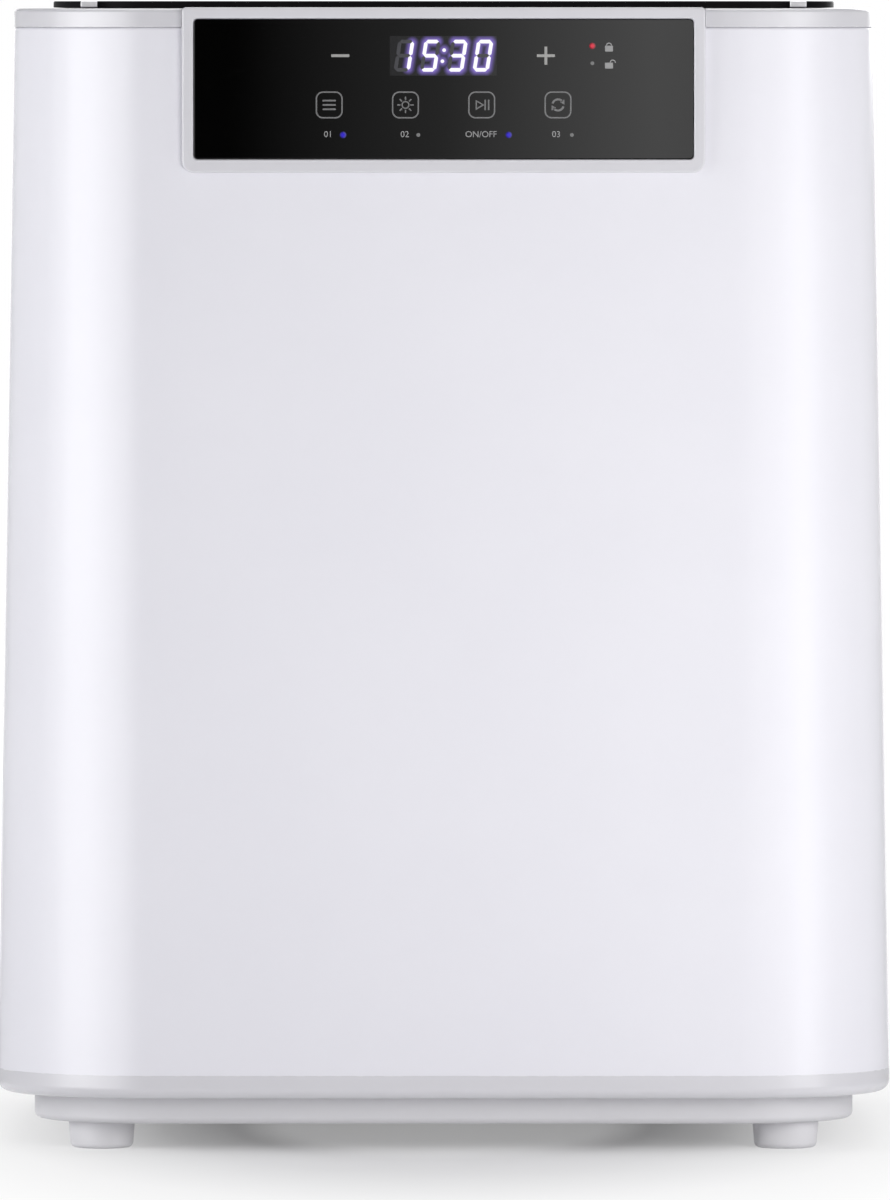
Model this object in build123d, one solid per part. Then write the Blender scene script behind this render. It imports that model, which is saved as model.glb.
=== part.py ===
"""Bench-top light curing unit, built as an assembly of separate pieces. Millimetres, +Z up.

The origin is on the surface that the unit stands on, under the middle of the case. The front,
with the touch panel, faces -Y. A drafted outer shell stands on a trim ring and a base tray with
four feet. A rim closes its top and frames the curing chamber, which is lined with mirror sheets,
lit by four corner LED bars and served by a motor-driven turntable. A black hinged lid covers it.
"""
from build123d import *
import os
from math import atan, cos, degrees, radians, sin

# ---------------------------------------------------------------- driving dimensions, in mm
# case
body_width = 250.0  # at the rim, side to side
body_depth = 250.0  # at the rim, front to back
corner_radius = 39.0  # of the rim's vertical corners
draft_inset = 5.0  # how much wider each side is at the foot of the shell
shell_height = 304.7
wall = 2.5
shell_edge = 0.8  # rounding of the shell's top outer edge
boss_height = 25.0  # the shell's screw bosses
boss_web = 3.0
rim_height = 5.4
rim_edge = 1.2
rim_band = 30.0  # from the rim's outer face to the chamber opening
rim_tongue_depth = 8.0  # tongue that reaches down inside the shell
rim_tongue_wall = 2.0
opening_radius = 14.0
trim_height = 4.9  # of the shelf that the shell's wall stands over
trim_rise = 1.9  # how far the trim's outer wall stands above its shelf, under the shell
trim_edge = 3.2  # rounding of the trim's lower outer edge
trim_band = 17.0  # from the trim's outer face to its hole
trim_tongue_height = 5.0
tray_height = 7.9
tray_inset = 10.75  # tray's side, in from the trim's side
tray_edge = 1.8
tray_floor = 2.5
tray_wall = 3.0
tower_radius = 4.4  # screw towers inside the tray
intake_slots = 7
intake_slot_length = 60.0
intake_slot_width = 4.0
intake_slot_pitch = 9.0
foot_height = 8.0
foot_top_radius = 9.65
foot_bottom_radius = 9.0
foot_edge = 1.5
foot_inset = 19.85  # foot's centre, in from the tray's side
plate_thickness = 1.5  # steel base plate
slip = 0.3  # clearance between parts that slide into each other
fit = 0.15  # clearance between parts that seat in each other
running = 0.05  # radial clearance of a turning pin or a screw
over = 1.0  # how far a cutter runs past what it cuts

# chamber
chamber_floor_height = 75.0
sheet = 1.0  # mirror lining
floor_sheet = 1.5
floor_screw_length = 5.0
liner_reveal = 1.0  # lining's face, outside the rim's opening
post_radius = 3.0
post_inset_x = 28.0  # support posts, in from the lining
post_inset_y = 8.0
post_tapping = 8.0
air_hole_radius = 2.2  # rear lining, in front of the fan
air_hole_pitch = 6.5
air_hole_rings = 5

# corner LED bars
bar_width = 26.0
bar_back = 2.0
bar_lip = 3.5
bar_lip_wall = 1.2
board_width = 20.0
led_board_thickness = 1.0
led_size = 3.5
led_height = 1.2
led_count = 10
led_pitch = 21.0
led_lens_radius = 1.4
led_board_margin = 6.0

# turntable and its gear motor
motor_radius = 25.0
motor_height = 20.5
motor_ear_span = 60.0
motor_ear_width = 14.0
shaft_radius = 3.5
motor_flange = 1.5
motor_neck = 2.5  # wall of the neck through the chamber floor
shaft_rise = 9.5  # above the motor's upper face
shaft_sunk = 9.0
hub_radius = 11.0
hub_height = 5.0
hub_gap = 1.5  # air under the hub
hex_width = 12.0
hex_height = 3.0
hub_edge = 0.8
platter_radius = 82.0
platter_thickness = 3.0
platter_lip = 1.5
platter_lip_wall = 2.5
platter_edge = 1.0
platter_ridge = 0.6
platter_ridge_width = 1.6
platter_ridges = (24.0, 42.0, 60.0)  # their outer radii
platter_boss = 1.2

# lid
lid_margin = 11.5  # lid's edge, in from the rim's outer face
lid_rear_inset = 24.5
lid_thickness = 1.8
lid_gap = 0.3
lid_corner = 27.5
lid_lip_depth = 4.8
lid_lip_wall = 2.3
lip_clearance = 1.0  # lip to the chamber opening
lid_edge = 0.4
ledge_thickness = 2.0  # under the window
window_recess = 0.2
lid_ledge = 3.2
glass_thickness = 2.5
rail_width = 4.8
rail_thickness = 1.2
rail_nose = 3.0
rail_from_corner = 16.6  # rail's middle, out from where the rim's corner starts
gasket_width = 3.0
gasket_gap = 2.0  # from the opening to the gasket
gasket_depth = 1.2
hinge_back = 15.0  # hinge axis, in from the rim's rear face
hinge_drop = 3.3  # hinge axis, below the rim's top
knuckle_radius = 3.1
pin_radius = 1.0
ear_wall = 2.0
ear_gap = 0.25
bracket_base = 3.0
bracket_spread = 6.5
recess_front = 1.5  # hinge recess, behind the lid's rear edge
recess_back = 6.1  # hinge recess, behind the hinge axis
scoop_radius = 9.0
scoop_depth = 3.5
scoop_length = 40.0
scoop_end = 3.0
scoop_outset = 1.0  # scoop's middle, outside the lid's edge
magnet_radius = 3.0
magnet_height = 1.2
magnet_x = 60.0
magnet_y = -106.0
sensor_length = 10.0
sensor_width = 6.0
sensor_height = 3.0

# touch panel
bezel_width = 151.0
bezel_height = 47.7
bezel_proud = 2.2  # in front of the rim's face
bezel_depth = 13.2
bezel_overlap = 2.0  # flange over the shell
bezel_low_corner = 3.5
bezel_high_corner = 1.2
bezel_edge = 1.0
panel_glass_width = 144.2
panel_glass_height = 40.4
panel_glass_corner = 1.2
panel_glass_thickness = 2.0
panel_glass_recess = 0.6
panel_border_low = 3.95
glass_ledge = 2.5
touch_board_gap = 6.0  # behind the glass
circuit_board = 1.6
display_width = 30.1
display_height = 14.0
key_pitch = 22.0
key_row_drop = 4.6  # lower keys, below the glass's middle
set_key_span = 62.2
set_key_rise = 9.6
spring_radius = 3.6
spring_wall = 0.6
panel_boss = 2.6
panel_screw_length = 5.0
panel_head_height = 1.4
touch_chip_width = 40.0
touch_chip_height = 12.0
touch_chip_rise = 8.0
touch_chip_depth = 2.5
snap_spread = 50.0  # the bezel's snap lips behind the shell's cut-out
snap_width = 16.0
snap_hook = 1.5
small_screw = 1.0  # radius of the touch board's screws
indicator_radius = 1.5
indicator_rise = 6.7  # indicator lights, above the glass's lower edge
indicator_offset = 4.0
lock_light_x = 43.0
lock_light_high = 12.4
lock_light_low = 7.4

# cooling fan and its grille
fan_size = 80.0
fan_depth = 15.0
fan_hole_span = 71.5
fan_duct_radius = 38.5
fan_hub_radius = 16.0
fan_height = 200.0  # its axis, above the floor
fan_wall_gap = 5.0  # fan's rear face to the rim's rear plane
fan_corner = 4.0
fan_blades = 7
blade_angle = 40.0
blade_chord = 18.0
blade_thickness = 1.4
blade_tip_gap = 1.2
fan_axle = 1.5
strut_depth = 2.5
strut_width = 3.0
grille_radius = 40.0
grille_flange = 3.0
grille_slot = 3.0
grille_proud = 1.2
grille_rib = 4.0  # upright rib down the middle
grille_border = 2.5

# mains inlet, fuse and switch
inlet_from_corner = 36.0  # plate's middle, in from where the rim's corner starts
inlet_centre_height = 50.0
inlet_plate_width = 74.0
inlet_plate_height = 46.0
inlet_plate_thickness = 1.5
pad_relief = 0.25
inlet_corner = 2.0
inlet_screw_length = 6.0
inlet_window_width = 58.0
inlet_window_height = 39.0
inlet_screw_span = 66.4
inlet_screw_rise = 28.0
socket_offset = -11.5
socket_flange_width = 31.0
socket_flange_height = 37.0
socket_flange = 2.0
socket_body_width = 27.4
socket_body_height = 33.0
socket_body_depth = 26.0
socket_width = 24.2
socket_height = 16.2
socket_depth = 16.0
socket_drop = 7.0
socket_chamfer = 4.5
fuse_width = 22.0
fuse_height = 8.0
fuse_depth = 20.0
fuse_rise = 9.5
fuse_length = 20.0
fuse_radius = 2.5
drawer_proud = 0.8
drawer_edge = 0.4
drawer_notch_width = 10.0
drawer_notch = 2.4
drawer_notch_depth = 3.0
contact_span = 14.0
contact_drop = 2.0
contact_rise = 2.5
contact_width = 2.0
contact_height = 4.0
contact_recess = 2.0  # blade's end, inside the socket's face
contact_tab = 6.0
switch_offset = 18.0
switch_flange_width = 15.0
switch_flange_height = 21.0
switch_body_width = 13.0
switch_body_height = 19.0
switch_body_depth = 15.0
rocker_width = 9.4
rocker_radius = 8.2
rocker_tilt = 8.0  # degrees, as it stands when switched on
rocker_face = 3.0
rocker_back = 3.0
rocker_pin = 1.1
rocker_pin_length = 0.9
pivot_back = 2.0  # rocker's pivot, inside the pad
switch_flange = 1.5
switch_corner = 1.2

# boards in the base
supply_width = 52.0
supply_length = 100.0
board_side_gap = 13.0  # board's edge, in from the rim's side
standoff_height = 5.0
standoff_radius = 2.6
board_hole_inset = 4.0
board_screw_bite = 3.5
# components: x, y, half width, half length and height, from the board's middle
supply_blocks = [(0, 2, 15, 12, 20), (-14, -28, 4, 8, 14), (14, 34, 6, 4, 12), (-10, 36, 8, 4, 10)]
logic_blocks = [
    (0, 0, 7, 7, 1.4), (-14, 30, 5, 8, 8), (8, 34, 9, 3.5, 7), (8, -34, 9, 3.5, 7), (15, 6, 3, 6, 3)
]
# capacitors: x, y, radius and height
supply_cans = [(10, -30, 8, 22), (0, 26, 5, 14)]
logic_cans = [(-14, -20, 4, 10), (-4, -24, 4, 10)]
solder = 0.2  # how far a component's foot sinks into its board

# screws
screw_radius = 1.5
screw_head_radius = 2.9
screw_head_height = 2.2
screw_head_edge = 0.7
driver_span = 3.0
driver_width = 0.7
driver_depth = 1.1
base_screw_inset = 17.0  # in from the rim's side
base_screw_span = 120.0
base_screw_bite = 16.0
bracket_screw_bite = 3.0
boss_radius = 4.0

# ---------------------------------------------------------------- levels and places worked out
base_width = body_width + 2 * draft_inset
base_depth = body_depth + 2 * draft_inset
base_corner = corner_radius + draft_inset
draft_angle = degrees(atan(draft_inset / shell_height))
z_tray = foot_height
z_trim = z_tray + tray_height
z_shell = z_trim + trim_height
z_seam = z_shell + trim_rise
z_rim = z_shell + shell_height
z_top = z_rim + rim_height
z_lid = z_top + lid_gap
z_lid_top = z_lid + lid_thickness
z_plate = z_shell + plate_thickness
half_w = body_width / 2
half_d = body_depth / 2
open_w = half_w - rim_band
open_d = half_d - rim_band
liner_w = open_w + liner_reveal
liner_d = open_d + liner_reveal
z_floor = chamber_floor_height + floor_sheet
tray_w = base_width / 2 - tray_inset
tray_d = base_depth / 2 - tray_inset
foot_x = tray_w - foot_inset
foot_y = tray_d - foot_inset
inlet_centre_x = half_w - corner_radius - inlet_from_corner
trim_hole_w = base_width / 2 - trim_band
trim_hole_d = base_depth / 2 - trim_band
z_base_screw = z_tray + screw_head_height + over  # seat of the base screws' sunk heads
screw_x = half_w - base_screw_inset
screw_y = base_screw_span / 2
lid_w = half_w - lid_margin
lid_front = -(half_d - lid_margin)
lid_rear = half_d - lid_rear_inset
rail_x = half_w - corner_radius + rail_from_corner
hinge_y = half_d - hinge_back
hinge_z = z_top - hinge_drop
bezel_front = -(half_d + bezel_proud)
bezel_rear = bezel_front + bezel_depth
z_bezel = z_lid - bezel_height
z_glass = z_bezel + panel_border_low
glass_mid = z_glass + panel_glass_height / 2
glass_front = bezel_front + panel_glass_recess
glass_back = glass_front + panel_glass_thickness
board_front = glass_back + touch_board_gap
fan_rear = half_d - fan_wall_gap
fan_front = fan_rear - fan_depth


# ---------------------------------------------------------------- shape helpers
LOW = (Align.CENTER, Align.CENTER, Align.MIN)


def block(x0, x1, y0, y1, z0, z1):
    """A box between two corners."""
    return Pos(x0, y0, z0) * Box(x1 - x0, y1 - y0, z1 - z0, align=(Align.MIN,) * 3)


def slab(half_x, half_y, radius, z0, z1, y=0.0):
    """An upright block with rounded vertical corners."""
    return Pos(0, y, z0) * extrude(RectangleRounded(2 * half_x, 2 * half_y, radius), z1 - z0)


def upright(x, y, z0, z1, radius):
    """A cylinder along Z."""
    return Pos(x, y, z0) * Cylinder(radius, z1 - z0, align=LOW)


def along_y(x, z, y0, y1, radius):
    """A cylinder along Y."""
    return Pos(x, y0, z) * Rot(-90, 0, 0) * Cylinder(radius, y1 - y0, align=LOW)


def along_x(y, z, x0, x1, radius):
    """A cylinder along X."""
    return Pos(x0, y, z) * Rot(0, 90, 0) * Cylinder(radius, x1 - x0, align=LOW)


def drafted(inset, edge=0.0):
    """The shell's outside, drawn in by inset, as a solid."""
    foot = RectangleRounded(base_width - 2 * inset, base_depth - 2 * inset, base_corner - inset)
    solid = extrude(Pos(0, 0, z_shell) * foot, shell_height, taper=draft_angle)
    if edge:
        solid = fillet(solid.faces().sort_by(Axis.Z)[-1].edges(), edge)
    return solid


def face_y(z, inset=0.0):
    """How far out the shell's front and rear faces, drawn in by inset, stand at height z."""
    return half_d - inset + draft_inset * (z_rim - z) / shell_height


# the inlet's flat pad stands inside the wall, clear of its slope up to the plate's upper edge
pad_y = face_y(inlet_centre_height + inlet_plate_height / 2, wall) - pad_relief


def screw_seat(z):
    """How far out the heads of the rear face's sunk screws sit at height z."""
    return face_y(z) - screw_head_height


def corners(x, y):
    """The four mirrored places of a point."""
    return [(sx * x, sy * y) for sx in (-1, 1) for sy in (-1, 1)]


def together(shapes):
    """Separate solids kept side by side as one group."""
    return Compound(children=[s for shape in shapes for s in shape.solids()])


parts = {}

# ---------------------------------------------------------------- housing
outside = drafted(0)
inside = drafted(wall)


def make_shell():
    """Drafted tube with screw bosses, fan bosses, a flat pad for the inlet and its cut-outs."""
    tube = drafted(0, shell_edge) - inside
    tube -= slab(base_width / 2 + over, base_depth / 2 + over, base_corner + over, z_shell - over, z_seam)
    low = z_plate
    web_low = z_shell + trim_tongue_height + over
    web_high = low + boss_height
    bosses = []
    for x, y in corners(screw_x, screw_y):
        side = 1 if x > 0 else -1
        reach = sorted((x, side * (half_w + draft_inset)))
        bosses.append(upright(x, y, low, web_high, boss_radius))
        bosses.append(block(*reach, y - boss_web / 2, y + boss_web / 2, web_low, web_high))
    fan_offset = fan_hole_span / 2
    for x, dz in corners(fan_offset, fan_offset):
        bosses.append(along_y(x, fan_height + dz, fan_rear, half_d + draft_inset, boss_radius))
    pad = block(
        inlet_centre_x - inlet_plate_width / 2,
        inlet_centre_x + inlet_plate_width / 2,
        pad_y,
        half_d + draft_inset,
        inlet_centre_height - inlet_plate_height / 2,
        inlet_centre_height + inlet_plate_height / 2,
    )
    shell = tube
    for extra in [*bosses, pad]:
        shell = shell + (extra & outside)
    for x, y in corners(screw_x, screw_y):
        shell -= upright(x, y, low, web_high - boss_web, screw_radius + running)
    for x, dz in corners(fan_offset, fan_offset):
        z = fan_height + dz
        seat = screw_seat(z)
        shell -= along_y(x, z, fan_rear - over, half_d + 2 * draft_inset, screw_radius + running)
        shell -= along_y(x, z, seat, half_d + 2 * draft_inset, screw_head_radius + fit)
    shell -= along_y(0, fan_height, fan_rear - over, half_d + 2 * draft_inset, grille_radius + fit)
    shell -= block(
        inlet_centre_x - inlet_window_width / 2,
        inlet_centre_x + inlet_window_width / 2,
        half_d - wall,
        half_d + 2 * draft_inset,
        inlet_centre_height - inlet_window_height / 2,
        inlet_centre_height + inlet_window_height / 2,
    )
    for dx, dz in corners(inlet_screw_span / 2, inlet_screw_rise / 2):
        x, z = inlet_centre_x + dx, inlet_centre_height + dz
        shell -= along_y(x, z, half_d - wall, half_d + 2 * draft_inset, screw_radius + running)
        shell -= along_y(x, z, screw_seat(z), half_d + 2 * draft_inset, screw_head_radius + fit)
    notch = bezel_width / 2 - bezel_overlap + fit
    shell -= block(
        -notch, notch, -half_d - 2 * draft_inset, -half_d + 2 * wall,
        z_bezel + bezel_overlap - fit, z_rim + over,
    )
    return shell


def make_rim():
    """Flat ring that closes the shell's top, with a tongue inside it and hinge recesses."""
    ring = slab(half_w, half_d, corner_radius, z_rim, z_top)
    ring = fillet(ring.faces().sort_by(Axis.Z)[-1].edges(), rim_edge)
    tongue_out = wall + slip
    tongue_in = tongue_out + rim_tongue_wall
    z_tongue = z_rim - rim_tongue_depth
    tongue = slab(half_w - tongue_out, half_d - tongue_out, corner_radius - tongue_out, z_tongue, z_rim)
    tongue -= slab(half_w - tongue_in, half_d - tongue_in, corner_radius - tongue_in, z_tongue, z_rim)
    ring = ring + tongue
    ring -= slab(open_w, open_d, opening_radius, z_tongue, z_top + over)
    ring -= gasket_solid(z_top - gasket_depth, z_top + over)
    notch = bezel_width / 2 + fit
    ring -= block(-notch, notch, -half_d - over, bezel_rear + fit, z_tongue - over, z_top + over)
    for side in (-1, 1):
        middle = side * rail_x
        reach = rail_width / 2 + ear_gap + ear_wall + fit
        ring -= block(
            middle - reach, middle + reach, lid_rear + recess_front, hinge_y + recess_back,
            z_rim, z_top + over,
        )
        scoop = Pos(side * (lid_w + scoop_outset), 0, z_top + scoop_radius - scoop_depth)
        scoop = scoop * Rot(90, 0, 0) * Cylinder(scoop_radius, scoop_length)
        ring -= fillet(scoop.edges(), scoop_end)
    return ring


def gasket_solid(z0, z1):
    """The ring that the lid's seal fills, round the chamber opening."""
    inner = gasket_gap
    outer = gasket_gap + gasket_width
    ring = slab(open_w + outer, open_d + outer, opening_radius + outer, z0, z1)
    return ring - slab(open_w + inner, open_d + inner, opening_radius + inner, z0, z1)


def make_trim():
    """Ring under the shell, rounded below, with a raised wall and a tongue inside the shell."""
    ring = slab(base_width / 2, base_depth / 2, base_corner, z_trim, z_shell)
    ring = fillet(ring.faces().sort_by(Axis.Z)[0].edges(), trim_edge)
    raised = slab(base_width / 2, base_depth / 2, base_corner, z_shell, z_seam)
    out = wall + slip
    tongue = slab(
        base_width / 2 - out, base_depth / 2 - out, base_corner - out, z_shell, z_shell + trim_tongue_height
    )
    out += rim_tongue_wall
    tongue = raised + tongue - slab(
        base_width / 2 - out, base_depth / 2 - out, base_corner - out, z_shell, z_shell + trim_tongue_height
    )
    hole_corner = base_corner - trim_band
    return ring + tongue - slab(trim_hole_w, trim_hole_d, hole_corner, z_trim - over, z_shell + over)


def make_tray():
    """Shallow pan with screw towers, foot bosses and intake slots."""
    corner = base_corner - tray_inset
    pan = slab(tray_w, tray_d, corner, z_tray, z_trim)
    pan = fillet(pan.faces().sort_by(Axis.Z)[0].edges(), tray_edge)
    z_pan = z_tray + tray_floor
    pan -= slab(tray_w - tray_wall, tray_d - tray_wall, corner - tray_wall, z_pan, z_trim + over)
    for x, y in corners(screw_x, screw_y):
        pan += upright(x, y, z_tray + tray_floor / 2, z_shell, tower_radius)
    for x, y in corners(foot_x, foot_y):
        pan += upright(x, y, z_tray + tray_floor / 2, z_shell - over, tower_radius)
        pan -= upright(x, y, z_tray - over, z_shell, screw_radius + running)
    for x, y in corners(screw_x, screw_y):
        pan -= upright(x, y, z_tray - over, z_shell + over, screw_radius + running)
        pan -= upright(x, y, z_tray - over, z_base_screw, screw_head_radius + fit)
    return pan - intake(z_tray, tray_floor)


def intake(z, thickness):
    """The row of air slots, cut through a floor that stands at height z."""
    slot = extrude(SlotOverall(intake_slot_length, intake_slot_width), thickness + 2 * over)
    middle = (intake_slots - 1) / 2
    return [Pos(0, (n - middle) * intake_slot_pitch, z - over) * slot for n in range(intake_slots)]


def make_foot(x, y):
    """Rubber foot, tapered, with a sunk screw."""
    foot = Pos(x, y, 0) * extrude(
        Circle(foot_bottom_radius), foot_height,
        taper=-degrees(atan((foot_top_radius - foot_bottom_radius) / foot_height)),
    )
    foot = fillet(foot.faces().sort_by(Axis.Z)[0].edges(), foot_edge)
    foot -= upright(x, y, -over, foot_height / 2, screw_head_radius + slip + fit)
    return foot - upright(x, y, -over, foot_height + over, screw_radius + running)


def screw_up(x, y, z_seat, length):
    """Pan-head screw driven upwards, its head under z_seat."""
    head = upright(x, y, z_seat - screw_head_height, z_seat, screw_head_radius)
    head = fillet(head.faces().sort_by(Axis.Z)[0].edges(), screw_head_edge)
    head -= Pos(x, y, z_seat - screw_head_height) * cross_recess()
    return head + upright(x, y, z_seat, z_seat + length, screw_radius)


def screw_down(x, y, z_seat, length):
    """Pan-head screw driven downwards, its head on z_seat."""
    return Pos(0, 0, 2 * z_seat) * mirror(screw_up(x, y, z_seat, length), Plane.XY)


def cross_recess():
    """Cross-shaped driver recess, cut upwards from z 0."""
    arm = Box(driver_span, driver_width, driver_depth, align=LOW)
    return arm + Rot(0, 0, 90) * arm


def screw_in(x, z, y_seat, length):
    """Pan-head screw driven towards the front, its head behind y_seat."""
    local = screw_up(0, 0, 0, length)
    return Pos(x, y_seat, z) * Rot(90, 0, 0) * local


parts["outer_shell"] = make_shell()
parts["top_rim"] = make_rim()
parts["bottom_trim"] = make_trim()
parts["base_tray"] = make_tray()
for name, sx, sy in (
    ("front_left", -1, -1), ("front_right", 1, -1), ("rear_left", -1, 1), ("rear_right", 1, 1)
):
    parts[f"foot_{name}"] = make_foot(sx * foot_x, sy * foot_y)
parts["foot_screws"] = together(
    screw_up(x, y, foot_height / 2, z_shell - 2 - foot_height / 2) for x, y in corners(foot_x, foot_y)
)
parts["base_screws"] = together(
    screw_up(x, y, z_base_screw, z_plate + base_screw_bite - z_tray) for x, y in corners(screw_x, screw_y)
)

# ---------------------------------------------------------------- steel base plate and posts
plate_out = wall + slip + rim_tongue_wall + fit
supply_x = half_w - board_side_gap - supply_width / 2


def board_corners(centre_x):
    inset = board_hole_inset
    return [
        (centre_x + dx, dy)
        for dx, dy in corners(supply_width / 2 - inset, supply_length / 2 - inset)
    ]


def make_base_plate():
    """Steel sheet with pressed-in stand-offs for the two boards."""
    corner = base_corner - plate_out
    plate = slab(base_width / 2 - plate_out, base_depth / 2 - plate_out, corner, z_shell, z_plate)
    for side in (-1, 1):
        for x, y in board_corners(side * supply_x):
            plate += upright(x, y, z_plate - plate_thickness / 3, z_plate + standoff_height, standoff_radius)
            plate -= upright(x, y, z_plate, z_plate + standoff_height + over, screw_radius + running)
    for x, y in corners(screw_x, screw_y):
        plate -= upright(x, y, z_shell - over, z_plate + over, screw_radius + running)
    return plate - intake(z_shell, plate_thickness)


parts["base_plate"] = make_base_plate()
post_x = liner_w - post_inset_x
post_y = liner_d - post_inset_y


def make_post(x, y):
    """Hexagonal post, tapped from above for a floor screw."""
    post = Pos(x, y, z_plate) * extrude(RegularPolygon(post_radius, 6), chamber_floor_height - z_plate)
    tapping = chamber_floor_height - post_tapping
    return post - upright(x, y, tapping, chamber_floor_height + over, screw_radius + running)


parts["floor_posts"] = together(make_post(x, y) for x, y in corners(post_x, post_y))

# ---------------------------------------------------------------- chamber
outer_liner_w = liner_w + sheet
outer_liner_d = liner_d + sheet


def make_chamber_floor():
    floor = block(
        -outer_liner_w, outer_liner_w, -outer_liner_d, outer_liner_d, chamber_floor_height, z_floor
    )
    floor -= upright(0, 0, chamber_floor_height - over, z_floor + over, shaft_radius + motor_neck + fit)
    for side in (-1, 1):
        x = side * motor_ear_span / 2
        floor -= upright(x, 0, chamber_floor_height - over, z_floor + over, screw_radius + running)
    for x, y in corners(post_x, post_y):
        floor -= upright(x, y, chamber_floor_height - over, z_floor + over, screw_radius + running)
    return floor


def make_rear_liner():
    """Rear lining, perforated in front of the fan."""
    liner = block(-outer_liner_w, outer_liner_w, liner_d, outer_liner_d, z_floor, z_rim)
    rows = range(-air_hole_rings, air_hole_rings + 1)
    field = fan_duct_radius - air_hole_radius - 2 * over
    for row in rows:
        for column in rows:
            x, dz = column * air_hole_pitch, row * air_hole_pitch
            if x * x + dz * dz < field**2:
                liner -= along_y(x, fan_height + dz, liner_d - over, outer_liner_d + over, air_hole_radius)
    return liner


parts["chamber_floor"] = make_chamber_floor()
floor_screw_places = corners(post_x, post_y) + [(side * motor_ear_span / 2, 0) for side in (-1, 1)]
parts["floor_screws"] = together(
    screw_down(x, y, z_floor, floor_screw_length) for x, y in floor_screw_places
)
parts["liner_front"] = block(-outer_liner_w, outer_liner_w, -outer_liner_d, -liner_d, z_floor, z_rim)
parts["liner_rear"] = make_rear_liner()
side_liner = block(liner_w, outer_liner_w, -liner_d, liner_d, z_floor, z_rim)
parts["liner_sides"] = together([side_liner, mirror(side_liner, Plane.YZ)])

# ---------------------------------------------------------------- corner LED bars
bar_height = z_rim - z_floor
led_low = z_floor + (bar_height - (led_count - 1) * led_pitch) / 2


def at_corner(shape, sx, sy):
    """Turns a bar that faces -Y into a chamber corner, facing the middle."""
    reach = (bar_width / 2 + bar_back) * cos(radians(45)) + fit
    turn = {(1, 1): -45, (-1, 1): 45, (-1, -1): 135, (1, -1): -135}[(sx, sy)]
    return Pos(sx * (liner_w - reach), sy * (liner_d - reach), 0) * Rot(0, 0, turn) * shape


def make_bar():
    """Aluminium channel whose back stands against the corner and whose lips hold the board."""
    half = bar_width / 2
    bar = block(-half, half, 0, bar_back, z_floor, z_rim)
    for x0, x1 in ((-half, -half + bar_lip_wall), (half - bar_lip_wall, half)):
        bar += block(x0, x1, -bar_lip, 0, z_floor, z_rim)
    return bar


def make_led_board():
    low, high = z_floor + led_board_margin, z_rim - led_board_margin
    return block(-board_width / 2, board_width / 2, -led_board_thickness, 0, low, high)


def make_leds():
    face = -led_board_thickness
    chips = []
    for n in range(led_count):
        z = led_low + n * led_pitch
        half = led_size / 2
        body = block(-half, half, face - led_height / 2, face, z - half, z + half)
        lens = along_y(0, z, face - led_height, face - led_height / 2, led_lens_radius)
        chips.append(body + lens)
    return chips


bar_places = (("front_left", -1, -1), ("front_right", 1, -1), ("rear_left", -1, 1), ("rear_right", 1, 1))
for name, sx, sy in bar_places:
    parts[f"led_bar_{name}"] = at_corner(make_bar(), sx, sy)
parts["led_boards"] = together(at_corner(make_led_board(), sx, sy) for _, sx, sy in bar_places)
parts["uv_leds"] = together(at_corner(chip, sx, sy) for _, sx, sy in bar_places for chip in make_leds())

# ---------------------------------------------------------------- turntable
z_motor_top = chamber_floor_height
z_shaft_top = z_motor_top + shaft_rise
z_hub = z_floor + hub_gap
z_platter = z_hub + hub_height


def make_motor():
    """Round gear motor with two ears, hung under the chamber floor."""
    z_flange = z_motor_top - motor_flange
    can = upright(0, 0, z_motor_top - motor_height, z_flange, motor_radius)
    can = fillet(can.faces().sort_by(Axis.Z)[0].edges(), motor_flange)
    ear_length = motor_ear_span + motor_ear_width
    flange = Pos(0, 0, z_flange) * extrude(SlotOverall(ear_length, motor_ear_width), motor_flange)
    motor = can + flange + upright(0, 0, z_flange, z_floor, shaft_radius + motor_neck)
    for side in (-1, 1):
        x = side * motor_ear_span / 2
        motor -= upright(x, 0, z_flange - over, z_motor_top + over, screw_radius + running)
    return motor - upright(0, 0, z_motor_top - shaft_sunk - over, z_floor + over, shaft_radius + running)


def make_hub():
    """Drive hub: a collar with a hexagon on top that carries the platter."""
    hub = upright(0, 0, z_hub, z_platter, hub_radius)
    hub = fillet(hub.faces().sort_by(Axis.Z)[0].edges(), hub_edge)
    hexagon = RegularPolygon(hex_width / 2, 6, major_radius=False)
    hub += Pos(0, 0, z_platter) * extrude(hexagon, hex_height)
    return hub - upright(0, 0, z_hub - over, z_shaft_top + fit, shaft_radius + running)


def make_platter():
    """Round platter with a raised lip and grip ridges, on a hexagon socket."""
    top = z_platter + platter_thickness
    disc = upright(0, 0, z_platter, top + platter_lip, platter_radius)
    disc -= upright(0, 0, top, top + platter_lip + over, platter_radius - platter_lip_wall)
    disc = fillet(disc.faces().sort_by(Axis.Z)[0].edges(), platter_edge)
    root = top - platter_thickness / 6
    for radius in platter_ridges:
        ridge = upright(0, 0, root, top + platter_ridge, radius)
        disc += ridge - upright(0, 0, root - over, top + platter_ridge + over, radius - platter_ridge_width)
    disc += upright(0, 0, root, top + platter_boss, hex_width * 0.8)
    hexagon = RegularPolygon(hex_width / 2 + fit, 6, major_radius=False)
    return disc - Pos(0, 0, z_platter - over) * extrude(hexagon, hex_height + over + fit)


parts["turntable_motor"] = make_motor()
parts["motor_shaft"] = upright(0, 0, z_motor_top - shaft_sunk, z_shaft_top, shaft_radius)
parts["drive_hub"] = make_hub()
parts["turntable_platter"] = make_platter()

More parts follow.
